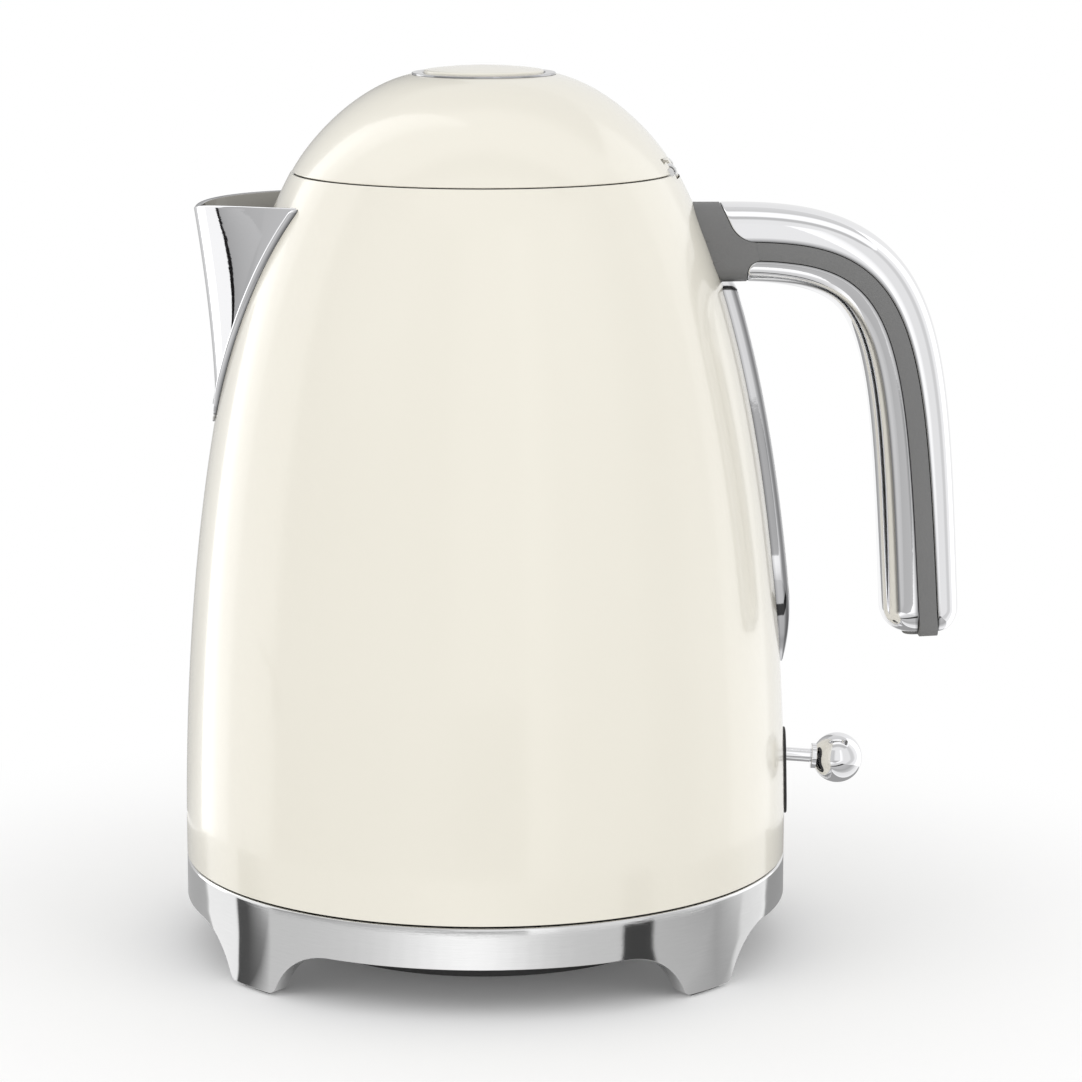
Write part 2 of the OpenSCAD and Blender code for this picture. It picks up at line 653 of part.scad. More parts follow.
// Sections of one shell: round and hollow, closed at the lower end
function shell_loop(shrink, side, wall, t) = concat(
    half_arc(handle_half - shrink, handle_b - shrink, side, mid_at(t)),
    reverse(half_arc(handle_half - shrink - wall, handle_b - shrink - wall, side, mid_at(t)))
);
function tip_r(side) = min(end_r, handle_half - strip_half - side * strip_drift - 1.3);
function shell_tip(a, side, wall) =
    placed(shell_loop(tip_r(side) * (1 - cos(a)), side, wall, 1), 1, 0, end_r * (1 - sin(a)) + shell_end);
function shell_loops(side) = concat(
    [for (s = stations) placed(shell_loop(0, side, shell_wall, s[0]), s[0], s[1])],
    [for (a = [20, 40, 60]) shell_tip(a, side, shell_wall)],
    [for (a = [75, 90]) shell_tip(a, side, 1)]
);

module handle_outer_shell() color("gainsboro") skin(shell_loops(1));
module handle_inner_shell() color("gainsboro") skin([for (loop = shell_loops(-1)) reverse(loop)]);

// Sections of the core: a strip of full width with a rib inside each shell
function core_loop(h, b, strip_b, t) =
    let (
        m = mid_at(t), e = strip_half - fit,
        upper = concat([[m + e, -strip_b]], half_arc(h, b, 1, m), [[m + e, strip_b]]),
        lower = concat([[m - e, -strip_b]], half_arc(h, b, -1, m), [[m - e, strip_b]])
    ) concat(upper, reverse(lower));
core_h = handle_half - shell_wall - fit;
core_b = handle_b - shell_wall - fit;

// The end of the core that lies on the body
function on_body(loop) = [for (p = loop)
    let (z = handle_z + p[0]) [sqrt(pow(body_at(z) + fit, 2) - p[1] * p[1]), p[1], z]];

module handle_core() color("dimgray") difference() {
    skin(concat(
        [for (k = [0.02, 0.25, 0.5, 0.75, 1]) on_body(core_loop(handle_half, handle_b - 0.02, handle_b, 0) * k)],
        [placed(core_loop(handle_half, handle_b - 0.02, handle_b, 0), 0, 1, 0.1)],
        [for (s = stations) placed(core_loop(core_h, core_b, handle_b, s[0]), s[0], s[1], 0.05)],
        [placed(core_loop(core_h - 2.6, core_b - 2.6, handle_b, 1), 1, 0, 4.5)],
        [placed(core_loop(strip_half + strip_drift + 0.4, core_b - 5.5, handle_b - 1, 1), 1, 0, 1.9)],
        [placed(core_loop(strip_half + strip_drift + 0.2, core_b - 6, handle_b - 4, 1), 1, 0)]
    ));
    for (z = screw_zs) translate([0, 0, z]) rod_x(1.9 + fit, 50, screw_end);
}

screw_end = body_at(handle_z) + 14;

module handle_screws() color("silver") for (z = screw_zs) translate([0, 0, z]) {
    seat = inner_at(z + 3.5) - fit;
    rod_x(1.9, seat - 0.5, screw_end - 1);
    rod_x(3.5, sqrt(seat * seat - 12.25) - 2, sqrt(seat * seat - 12.25) - fit);
}

// ---------- kettle: mouth and hinge ----------

collar_z = [seam_z - 0.6 - collar_h, seam_z - 0.6];

module mouth_collar() color("gray") difference() {
    rotate_extrude($fn = round_fn) polygon(concat(
        [[mouth_r, collar_z[0]]], [for (i = [0:3]) let (z = collar_z[0] + collar_h * i / 3) [inner_at(z) - fit, z]],
        [[mouth_r, collar_z[1]]]
    ));
    block([hinge_x - knuckle_r - 0.6, -hinge_half, collar_z[0] - 1], [body_r, hinge_half, seam_z + 1]);
    block([-mouth_r - 3.5, -4.5, bolt_z[0] - 0.4], [-mouth_r + 2, 4.5, bolt_z[1] + 0.4]);
}

ear_in = hinge_half - 4.3;

module hinge_bracket() color("silver") difference() {
    intersection() {
        union() {
            for (s = [-1, 1]) {
                translate([hinge_x, 0, hinge_z]) rod_y(knuckle_r, s * (ear_in + hinge_half) / 2 - 1.95,
                    s * (ear_in + hinge_half) / 2 + 1.95);
                block([hinge_x - knuckle_r, s * (ear_in + hinge_half) / 2 - 1.95, collar_z[0]],
                    [hinge_x + knuckle_r, s * (ear_in + hinge_half) / 2 + 1.95, hinge_z]);
            }
            block([hinge_x - knuckle_r, -hinge_half + 0.2, collar_z[0]],
                [body_r, hinge_half - 0.2, hinge_z - knuckle_r - 0.4]);
        }
        bracket_room();
    }
    translate([hinge_x, 0, hinge_z]) rod_y(hinge_pin_r + fit, -30, 30);
}

// Room for the bracket: inside the body's sheet, and under the lid's outer face above it
module bracket_room() union() {
    rotate_extrude($fn = round_fn) polygon(concat(
        [[0, collar_z[0] - 1]],
        [for (z = [collar_z[0] - 1, collar_z[0] + 2, hinge_z - knuckle_r - 0.4]) [inner_at(z) - fit, z]],
        [[0, hinge_z - knuckle_r - 0.4]]
    ));
    intersection() {
        outer_solid(-0.05);
        translate([hinge_x, 0, hinge_z]) rod_y(knuckle_r + 0.3, -hinge_half, hinge_half);
    }
    block([hinge_x - knuckle_r - 1, -hinge_half, collar_z[0]], [hinge_x, hinge_half, hinge_z]);
}

module hinge_pin() color("silver") translate([hinge_x, 0, hinge_z])
    rod_y(hinge_pin_r, 0.3 - hinge_half, hinge_half - 0.3);

leaf_half = ear_in - 4.2;

module lid_spring() color("silver") translate([hinge_x, 0, hinge_z]) for (s = [-1, 1])
    translate([0, s * (leaf_half + 0.3), 0]) rotate([-s * 90, 0, 0]) coil(1.8, 0.4, ear_in - leaf_half - 0.6, 3);

// ---------- lid ----------

lid_inner = [for (i = [0:lid_steps])
    let (p = bezier(lid_path, i / lid_steps), v = bezier_way(lid_path, i / lid_steps))
    i == 0 ? [p[0] - lid_wall / abs(v[1]), p[1]] : p + lid_wall * [-v[1], v[0]]];
sleeve_r = button_r + 0.3;

module lid_shell() color("ivory") difference() {
    rotate_extrude($fn = round_fn) polygon(concat(lid_line, reverse(lid_inner)));
    block([hinge_x - 12, -hinge_half, lid_z - 1], [body_r, hinge_half, hinge_z + knuckle_r + 0.9]);
}

liner_r = mouth_r - 0.8;
liner_z = [collar_z[0] + 0.2, lid_z + 1.2];
liner_floor = 1;
bolt_z = [liner_z[0] + liner_floor + 0.15, liner_z[0] + liner_floor + 2.15];
bolt_half = 4;
seal_z = [collar_z[1] - 1.9, collar_z[1] - 0.2];
seal_in = liner_r - 1.6;
post_x = 20;            // post that the latch's spring stands against

// Radius of the lid's inner face at a height
lid_inner_table = swap(lid_inner);
function lid_inner_at(z) = lookup(z, lid_inner_table);

module lid_liner() color("gray") difference() {
    union() {
        rotate_extrude($fn = round_fn) polygon([
            [0, liner_z[0]], [liner_r, liner_z[0]], [liner_r, seal_z[0] - fit], [seal_in, seal_z[0] - fit],
            [seal_in, seal_z[1] + fit], [liner_r, seal_z[1] + fit], [liner_r, lid_z + 0.2],
            [lid_inner_at(lid_z + 0.2) - fit, lid_z + 0.2], [lid_inner_at(liner_z[1]) - fit, liner_z[1]],
            [seal_in - 1.2, liner_z[1]], [seal_in - 1.2, liner_z[0] + liner_floor], [0, liner_z[0] + liner_floor],
        ]);
        for (s = [-1, 1]) block([-36, s * (bolt_half + 1.3) - 1, liner_z[0] + 0.5],
            [post_x + 2, s * (bolt_half + 1.3) + 1, bolt_z[1] + 0.1]);
        block([post_x, -bolt_half - 1, liner_z[0] + 0.5], [post_x + 2, bolt_half + 1, bolt_z[1] + stand_h]);
        for (a = [35, 145, 215, 325]) rotate([0, 0, a]) translate([14, 0, 0])
            rod_z(2.4, liner_z[0] + 0.5, spring_z[0] - 2);
        tube(plunger_r + 0.2, 16.2, spring_z[0] - 2 - eps, spring_z[0] - fit);
    }
    block([-mouth_r - 1, -bolt_half - 0.3, bolt_z[0] - 0.1], [-seal_in + 4, bolt_half + 0.3, bolt_z[1] + 0.3]);
    block([liner_notch_x, -hinge_half, liner_z[0] - 1], [body_r, hinge_half, liner_z[1] + 1]);
}

module lid_seal() color("white") tube(seal_in + fit, mouth_r - 0.3, seal_z[0], seal_z[1]);

ring_top_z = crown_z + 0.5;
sleeve_low = crown_z - 9;

module button_ring() color("silver") rotate_extrude($fn = round_fn) polygon([
    [sleeve_r, sleeve_low], [ring_r - lid_wall - 0.3, sleeve_low], [ring_r - lid_wall - 0.3, crown_z + fit],
    [ring_r, crown_z + fit], [ring_r, ring_top_z - 0.5], [ring_r - 0.6, ring_top_z], [sleeve_r + 0.4, ring_top_z],
    [sleeve_r, ring_top_z - 0.3],
]);

module hinge_leaf() color("silver") difference() {
    intersection() {
        union() {
            translate([hinge_x, 0, hinge_z]) rod_y(knuckle_r, -leaf_half, leaf_half);
            block([liner_notch_x + 0.2, -leaf_half, hinge_z - 0.2], [hinge_x + 3, leaf_half, hinge_z + knuckle_r]);
            block([liner_arm_x, -leaf_half, liner_z[1] + fit], [hinge_x, leaf_half, liner_z[1] + 1.4]);
        }
        outer_solid(-0.05);
    }
    translate([hinge_x, 0, hinge_z]) rod_y(hinge_pin_r + run_fit, -30, 30);
}

liner_arm_x = hinge_x - 14;
liner_notch_x = hinge_x - knuckle_r - 2;

// ---------- button and latch ----------

button_z = ring_top_z + button_lip;
cap_skirt = 5;
plunger_r = 4.5;
wedge = 1.7;            // depth of the plunger's 45-degree wedge
spring_z = [button_z - 20, button_z - 1.5 - fit];
plunger_z = bolt_z[1] + 0.3 + button_travel;

// The cap's face is part of a sphere
cap_curve = (button_r * button_r + button_dome * button_dome) / (2 * button_dome);
module button_cap() color("ivory") difference() {
    rotate_extrude($fn = round_fn) polygon(concat(
        [[0, button_z - cap_skirt], [button_r, button_z - cap_skirt], [button_r, button_z]],
        [for (i = [1:5]) let (x = button_r * (1 - i / 5))
            [x, button_z + button_dome - cap_curve + sqrt(cap_curve * cap_curve - x * x)]]
    ));
    tube(plunger_r + 2, button_r - 1.5, button_z - cap_skirt - 1, button_z - 1.5);
    rod_z(plunger_r + fit, button_z - cap_skirt - 1, button_z - 2);
}

module button_plunger() color("gray") difference() {
    rod_z(plunger_r, plunger_z, button_z - 2 - fit);
    translate([plunger_r, 0, plunger_z]) rotate([0, 45, 0])
        cube([wedge * sqrt(2), 20, wedge * sqrt(2)], center = true);
}

module button_spring() color("silver") translate([0, 0, spring_z[0]])
    coil(plunger_r + 3.2, 0.55, spring_z[1] - spring_z[0], 6);

bolt_tip = liner_r - 0.2;
ramp_x = plunger_r - wedge + 0.15 - (plunger_z - bolt_z[1]);
stand_x = 13.5;         // back of the bolt's upstand
stand_h = 5;
spring_r = 1.6;

module latch_bolt() color("lightgray") difference() {
    union() {
        block([-bolt_tip, -bolt_half, bolt_z[0]], [stand_x, bolt_half, bolt_z[1]]);
        translate([0, bolt_half, 0]) rotate([90, 0, 0]) linear_extrude(2 * bolt_half) polygon([
            [ramp_x, bolt_z[1] - eps], [stand_x, bolt_z[1] - eps],
            [stand_x, bolt_z[1] + stand_h], [ramp_x + stand_h, bolt_z[1] + stand_h],
        ]);
    }
    translate([0, 0, bolt_z[1] + stand_h / 2]) rod_x(spring_r + 0.3 + 2 * fit, stand_x - button_travel - 4, stand_x + 1);
}

// The latch's spring stands off the bottom of the bolt's pocket by the travel
module latch_spring() color("silver") translate([stand_x - 3.8, 0, bolt_z[1] + stand_h / 2])
    rotate([0, 90, 0]) coil(spring_r, 0.3, post_x - stand_x + 3.8 - fit, 6);

// ---------- switch lever ----------

module along_lever() translate([lever_x, 0, lever_z]) rotate([0, lever_droop, 0]) children();
lever_len = (lever_in + ball_out) / cos(lever_droop);
cheek = [6.3, 8.8];
lever_pin_r = 1.5;

module lever_bracket() color("gray") difference() {
    union() {
        block([lever_x - 5, -cheek[1], bottom_z[1] + fit], [lever_x + 5, cheek[1], bottom_z[1] + 3]);
        for (s = [-1, 1]) {
            block([lever_x - 4, s * (cheek[0] + cheek[1]) / 2 - 1.25, bottom_z[1] + 1],
                [lever_x + 4, s * (cheek[0] + cheek[1]) / 2 + 1.25, lever_z]);
            translate([lever_x, 0, lever_z]) rod_y(4, s * (cheek[0] + cheek[1]) / 2 - 1.25,
                s * (cheek[0] + cheek[1]) / 2 + 1.25);
        }
    }
    translate([lever_x, 0, lever_z]) rod_y(lever_pin_r + fit, -20, 20);
}

module lever_pin() color("silver") translate([lever_x, 0, lever_z]) rod_y(lever_pin_r, -cheek[1] - 0.5, cheek[1] + 0.5);

plate_half = 6.5;

module lever_plate() color("black") difference() {
    intersection() {
        turned_sector(layer(slot_z[0] - 6, slot_z[1] + 5, fit, 0.8), 8);
        extrude_x(lever_x, body_r + 5) slot_outline(plate_half, slot_z[0] - 3.6, slot_z[1] + 2.5);
    }
    extrude_x(lever_x, body_r + 5) slot_outline(slot_half, slot_z[0], slot_z[1]);
}

arm_end = 13;

module lever_arm() color("dimgray") along_lever() difference() {
    union() {
        rod_y(4, -cheek[0] + 0.3, cheek[0] - 0.3);
        block([-9, -4, -2.5], [arm_end, 4, 2.5]);
    }
    rod_y(lever_pin_r + run_fit, -20, 20);
    rod_x(stem_r + fit, arm_end - 8, arm_end + 1);
}

module lever_stem() color("silver") along_lever() rod_x(stem_r, arm_end - 8 + fit, lever_len - ball_r + 4);

module lever_ball() color("silver") along_lever() difference() {
    union() {
        translate([lever_len, 0, 0]) sphere(ball_r, $fn = round_fn);
        rod_x(ball_r / 2, lever_len - ball_r - 0.5, lever_len - ball_r / 2);
    }
    rod_x(stem_r + fit, lever_len - ball_r - 2, lever_len - ball_r + 4 + fit);
}

// ---------- nodes ----------

base_ring();
base_deck();
base_cover();
base_socket();
socket_contacts();
foot_pads();
base_screws();
cord_gland();
kettle_coupler();
coupler_contacts();
body_shell();
bottom_cover();
bottom_screws();
heater_plate();
plate_seal();
heat_spreader();
heating_element();
control_unit();
bimetal_discs();
steam_tube();
lever_bracket();
lever_pin();
lever_plate();
gauge_frame();
gauge_window();
gauge_seal();
spout_beak();
spout_flange();
handle_core();
handle_outer_shell();
handle_inner_shell();
handle_screws();
mouth_collar();
hinge_bracket();
hinge_pin();
lid_spring();
lid_shell();
lid_liner();
lid_seal();
button_ring();
hinge_leaf();
button_cap();
button_plunger();
button_spring();
latch_bolt();
latch_spring();
lever_arm();
lever_stem();
lever_ball();
filter_frame();
filter_mesh();
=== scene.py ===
import json
import math

import bpy
import numpy as np
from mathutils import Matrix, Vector


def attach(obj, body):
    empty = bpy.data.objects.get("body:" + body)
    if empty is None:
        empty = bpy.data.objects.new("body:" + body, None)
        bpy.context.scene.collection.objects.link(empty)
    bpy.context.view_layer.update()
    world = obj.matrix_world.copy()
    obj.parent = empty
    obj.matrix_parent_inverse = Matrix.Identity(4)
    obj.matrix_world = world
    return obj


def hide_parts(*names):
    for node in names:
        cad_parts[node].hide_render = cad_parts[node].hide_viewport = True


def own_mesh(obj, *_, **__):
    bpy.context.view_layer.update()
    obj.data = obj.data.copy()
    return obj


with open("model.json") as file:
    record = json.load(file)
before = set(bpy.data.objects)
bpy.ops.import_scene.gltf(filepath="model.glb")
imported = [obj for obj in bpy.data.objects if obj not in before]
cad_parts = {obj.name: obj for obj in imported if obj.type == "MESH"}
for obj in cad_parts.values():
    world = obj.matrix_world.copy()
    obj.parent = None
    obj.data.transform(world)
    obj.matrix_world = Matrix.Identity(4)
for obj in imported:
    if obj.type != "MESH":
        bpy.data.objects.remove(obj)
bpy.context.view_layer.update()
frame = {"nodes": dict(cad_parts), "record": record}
nodes = frame["nodes"]

mm = 0.001
sharpAngle = 38  # degrees between two faces from which their edge stays sharp
slack = 0.05  # what pieces that touch keep between them, in mm


def addObject(name, data):
    made = bpy.data.objects.new(name, data)
    bpy.context.scene.collection.objects.link(made)
    return made


def addPiece(name, points, quads, body, slot, material, stands, edge=None):
    # points in millimetres; quads index them, and a quad whose corners meet becomes a triangle;
    # edge is painted shade and painted reflection: how much darker a polished piece is drawn at each point,
    # such as where it meets another piece
    mesh = bpy.data.meshes.new(name)
    welded, where = np.unique(np.round(points, 5), axis=0, return_inverse=True)
    loops = where.reshape(-1)[np.asarray(quads)]
    faces = []
    for face in loops.tolist():
        kept = [v for i, v in enumerate(face) if v != face[i - 1]]
        if len(set(kept)) == len(kept) > 2:
            faces.append(kept)
    mesh.from_pydata((welded * mm).tolist(), [], faces)
    mesh.update()
    corner = welded[[f[0] for f in faces]]
    left = np.cross(welded[[f[1] for f in faces]] - corner, welded[[f[2] for f in faces]] - corner)
    right = np.cross(welded[[f[-2] for f in faces]] - corner, welded[[f[-1] for f in faces]] - corner)
    right[[len(f) < 4 for f in faces]] = 0
    sixVolumes = np.sum(corner * (left + right))
    if sixVolumes < 0:  # the faces look inwards
        mesh.flip_normals()
    # the edge attribute, kept per welded point, carries painted shade and painted reflection
    if edge is not None:
        paintedShadeAndReflection = np.zeros(len(welded), np.float32)
        np.maximum.at(paintedShadeAndReflection, where.reshape(-1), np.asarray(edge, np.float32).reshape(-1))
        mesh.attributes.new("edge", "FLOAT", "POINT").data.foreach_set("value", paintedShadeAndReflection)
    mesh.shade_smooth()
    mesh.set_sharp_from_angle(angle=math.radians(sharpAngle))
    mesh.materials.append(material)
    piece = addObject(name, mesh)
    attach(piece, body)
    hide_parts(*stands)
    return piece


def gridQuads(rows, columns, start=0, closeRows=False, closeColumns=False):
    # the corners of every quad of a grid of points, whose rows follow one another from start
    i = np.arange(rows if closeRows else rows - 1)[:, None]
    j = np.arange(columns if closeColumns else columns - 1)[None, :]
    a = i * columns + j
    b = i * columns + (j + 1) % columns
    c = (i + 1) % rows * columns + (j + 1) % columns
    d = (i + 1) % rows * columns + j
    return start + np.stack([a, b, c, d], -1).reshape(-1, 4)


def sweepPiece(name, loops, *rest, ring=False, **more):
    # loops holds one closed outline per station; strips between an outline's two halves close the ends
    stations, count = loops.shape[:2]
    quads = [gridQuads(stations, count, closeRows=ring, closeColumns=True)]
    if not ring:
        j = np.arange(count // 2)
        strip = np.stack([j, count - 1 - j, (count - 2 - j) % count, (j + 1) % count], -1)
        strip = strip[: (count - 1) // 2]
        quads += [strip, (stations - 1) * count + strip[:, ::-1]]
    return addPiece(name, loops.reshape(-1, 3), np.concatenate(quads), *rest, **more)


def turned(outline, angles):
    # every point of the outline, a radius and a height, carried round the axis
    r, z = np.asarray(outline, float).T
    a = np.radians(np.asarray(angles, float))[:, None]
    return np.stack([r * np.cos(a), r * np.sin(a), z + 0 * a], -1)


def fullTurn(count=180):
    # even angles round a circle, in degrees
    return np.arange(count) * 360 / count


def softened(corners, radii, steps=5, closed=True):
    # each corner becomes a quadratic curve that starts and ends radius away from it, at most half a side
    p = np.asarray(corners, float)
    radii = np.broadcast_to(np.asarray(radii, float), len(p))
    out = []
    for k, point in enumerate(p):
        if not closed and k in (0, len(p) - 1) or radii[k] == 0:
            out.append(point[None])
            continue
        back, on = p[k - 1] - point, p[(k + 1) % len(p)] - point
        reach = min(radii[k], 0.49 * np.linalg.norm(back), 0.49 * np.linalg.norm(on))
        start, end = point + back / np.linalg.norm(back) * reach, point + on / np.linalg.norm(on) * reach
        t = np.linspace(0, 1, steps)[:, None]
        out.append((1 - t) ** 2 * start + 2 * t * (1 - t) * point + t * t * end)
    return np.concatenate(out)


def cubic(points, t):
    # Bernstein form of a cubic curve and its unit tangent
    p = np.asarray(points, float)
    t = np.asarray(t, float)[:, None]
    s = 1 - t
    place = s**3 * p[0] + 3 * s * s * t * p[1] + 3 * s * t * t * p[2] + t**3 * p[3]
    way = s * s * (p[1] - p[0]) + 2 * s * t * (p[2] - p[1]) + t * t * (p[3] - p[2])
    return place, way / np.linalg.norm(way, axis=1)[:, None]


class Wire:
    # a socket with arithmetic; without a socket it only makes nodes
    def __init__(self, tree, socket=None):
        self.tree, self.socket = tree, socket

    def node(self, kind, inputs, settings=None, out=0):
        # a node from its type, its settings and its sockets' values or wires; out picks the output
        made = self.tree.nodes.new(kind)
        for key, value in (settings or {}).items():
            if key == "stops":
                ramp = made.color_ramp
                while len(ramp.elements) < len(value):
                    ramp.elements.new(0.5)
                for element, (place, tone) in zip(ramp.elements, value):
                    element.position = place
                    element.color = (tone, tone, tone, 1)
            else:
                setattr(made, key, value)
        for key, value in inputs.items():
            if isinstance(value, Wire):
                self.tree.links.new(value.socket, made.inputs[key])
            else:
                made.inputs[key].default_value = value
        return Wire(self.tree, made.outputs[out] if made.outputs else None)

    def sum(self, operation, a, b):
        return self.node("ShaderNodeMath", {0: a, 1: b}, {"operation": operation})

    def __add__(self, other):
        return self.sum("ADD", self, other)

    def __radd__(self, other):
        return self.sum("ADD", other, self)

    def __sub__(self, other):
        return self.sum("SUBTRACT", self, other)

    def __rsub__(self, other):
        return self.sum("SUBTRACT", other, self)

    def __mul__(self, other):
        return self.sum("MULTIPLY", self, other)

    def __rmul__(self, other):
        return self.sum("MULTIPLY", other, self)

    def step(self, low, high):
        return self.node("ShaderNodeMapRange", {"Value": self, "From Min": low, "From Max": high},
                         {"interpolation_type": "SMOOTHSTEP"})

    def noise(self, scale, detail=3, roughness=0.5):
        return self.node("ShaderNodeTexNoise",
                         {"Vector": self, "Scale": scale, "Detail": detail, "Roughness": roughness})

    def stretched(self, scale):
        return self.node("ShaderNodeMapping", {"Vector": self, "Scale": scale})

    def mix(self, a, b):
        # colour a where the mask is 0, and b where it is 1
        return self.node("ShaderNodeMix", {"Factor": self, 6: a, 7: b}, {"data_type": "RGBA"}, out=2)


def finish(name, settings, build=None):
    # a material from the shader's own sockets, then what build changes over the surface
    material = bpy.data.materials.new(name)
    material.use_nodes = True
    tree = material.node_tree
    shader = tree.nodes["Principled BSDF"]
    for key, value in settings.items():
        shader.inputs[key].default_value = value
    if build:
        place = Wire(tree).node("ShaderNodeTexCoord", {}, out="Object")
        for key, wire in build(place).items():
            tree.links.new(wire.socket, shader.inputs[key])
    return material


def bump(wire, height, strength, distance):
    return wire.node("ShaderNodeBump", {"Height": height, "Strength": strength, "Distance": distance})


def shade(value, blue=0):
    # a grey, with a share more of blue
    return (value, value, value * (1 + blue), 1)


creamLook = {
    "colour": (0.835, 0.803, 0.71, 1), "shadow": (0.8, 0.765, 0.66, 1), "cloudShare": 0.35,
    "roughness": 0.2, "rubbed": 0.06, "peelStrength": 0.05, "peelDepth": 0.0004,
}


def creamBuild(place):
    # enamel: a faint cloud in its tone, rubbed spots, and the fine waves of sprayed paint
    cloud = place.noise(14, 2)
    peel = place.noise(650, 2)
    rub = place.noise(60, 4, 0.6).step(0.52, 0.78)
    return {
        "Base Color": (cloud * creamLook["cloudShare"]).mix(creamLook["colour"], creamLook["shadow"]),
        "Roughness": creamLook["roughness"] + rub * creamLook["rubbed"],
        "Normal": bump(place, peel, creamLook["peelStrength"], creamLook["peelDepth"]),
    }


def metalBuild(base, spread, scratch, stretch=(1, 1, 1), tone=0.0):
    # fine marks in one direction, smears in the roughness, and a faint change of tone
    def build(place):
        marks = place.stretched(stretch).noise(scratch, 3, 0.6)
        smear = place.noise(35, 4, 0.6)
        wires = {
            "Roughness": base + smear.step(0.35, 0.8) * spread + marks * spread * 0.5,
            "Normal": bump(place, marks, 0.04, 0.0002),
        }
        if tone:
            wires["Base Color"] = (marks * 0.6 + smear * 0.4).mix(shade(tone), shade(tone * 0.86))
        return wires
    return build


def grainBuild(dark, light, base, size, depth):
    # moulded plastic or rubber: a fine grain, and a soft cloud in its tone
    def build(place):
        grain = place.noise(size, 2)
        cloud = place.noise(30, 3)
        return {
            "Base Color": (cloud * 0.6 + grain * 0.4).mix(dark, light),
            "Roughness": base + cloud * 0.12,
            "Normal": bump(place, grain, 0.25, depth),
        }
    return build


def polishedBuild(place):
    # bright all over, and drawn darker with painted shade and painted reflection where the mesh's edge values
    # say, such as where it meets another piece
    wires = metalBuild(base=0.02, spread=0.02, scratch=240)(place)
    edge = place.node("ShaderNodeAttribute", {}, {"attribute_name": "edge"}, out="Fac")
    # painted shade and painted reflection: edge turns the chrome tone towards near black
    wires["Base Color"] = edge.mix(shade(0.88, 0.015), shade(0.06, 0.05))
    return wires


metal = {"Metallic": 1}
creamEnamel = finish("creamEnamel", {"Coat Weight": 0.6, "Coat Roughness": 0.06, "IOR": 1.5}, creamBuild)
creamCap = finish("creamCap", {"Coat Weight": 0.4, "Coat Roughness": 0.08}, creamBuild)
polished = finish("polished", metal, polishedBuild)
satinRing = finish("satinRing", metal,
                   metalBuild(base=0.045, spread=0.05, scratch=160, stretch=(1, 1, 26), tone=0.82))
brushed = finish("brushed", metal,
                 metalBuild(base=0.24, spread=0.12, scratch=150, stretch=(20, 1, 1), tone=0.66))
springSteel = finish("springSteel", metal, metalBuild(base=0.45, spread=0.12, scratch=150, tone=0.85))
castBlock = finish("castBlock", metal, metalBuild(base=0.42, spread=0.15, scratch=300, tone=0.7))
contactBrass = finish("contactBrass", {"Metallic": 1, "Base Color": (0.78, 0.6, 0.3, 1)},
                      metalBuild(base=0.2, spread=0.12, scratch=200, stretch=(1, 1, 8)))
greyCore = finish("greyCore", {"IOR": 1.45},
                  grainBuild(shade(0.155), shade(0.19), base=0.5, size=1500, depth=0.0002))
blackPlate = finish("blackPlate", {},
                    grainBuild(shade(0.01), shade(0.022), base=0.42, size=1500, depth=0.0002))
darkPlastic = finish("darkPlastic", {},
                     grainBuild(shade(0.045), shade(0.07), base=0.5, size=900, depth=0.0003))
palePlastic = finish("palePlastic", {},
                     grainBuild(shade(0.66), shade(0.76), base=0.45, size=900, depth=0.0003))
softSeal = finish("softSeal", {"Subsurface Weight": 0.1},
                  grainBuild(shade(0.7), shade(0.8), base=0.45, size=500, depth=0.0002))
softFeet = finish("softFeet", {},
                  grainBuild(shade(0.02), shade(0.04), base=0.7, size=700, depth=0.0004))
clearWindow = finish("clearWindow",
                     {"Base Color": (0.93, 0.95, 0.96, 1), "Transmission Weight": 1, "IOR": 1.45},
                     lambda place: {"Roughness": 0.03 + place.noise(90, 3) * 0.05})

slotFinish = {
    "cream_enamel": creamEnamel,
    "cream_button": creamCap,
    "satin_base": satinRing,
    "polished_trim": polished,
    "grey_core": greyCore,
    "black_plate": blackPlate,
    "clear_window": clearWindow,
    "stainless": brushed,
    "heater_block": castBlock,
    "contact_brass": contactBrass,
    "dark_plastic": darkPlastic,
    "pale_plastic": palePlastic,
    "soft_seal": softSeal,
    "soft_feet": softFeet,
}
for part in frame["record"]["subparts"]:
    mesh = nodes[part["node"]].data
    mesh.materials.clear()
    dull = part["node"] in ("lid_spring", "hinge_pin")
    mesh.materials.append(springSteel if dull else slotFinish[part["material_slot"]])

# the spring under the button gets its own copy of its mesh; its ends are read from its points and the
# button's travel from the joint
press = next(joint for joint in frame["record"]["behaviour"]["joints"] if joint["name"] == "button_press")
spring = nodes["button_spring"].data.vertices
springPlaces = np.empty(3 * len(spring), np.float32)
spring.foreach_get("co", springPlaces)
springEnds = [float(limit(springPlaces[2::3])) for limit in (np.min, np.max)]
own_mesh(nodes["button_spring"], "button_press", axis=(0, 0, 1), anchor=(0, 0, springEnds[1]),
          keep=1 - press["range_m"][1] / (springEnds[1] - springEnds[0]))
print("materials made")

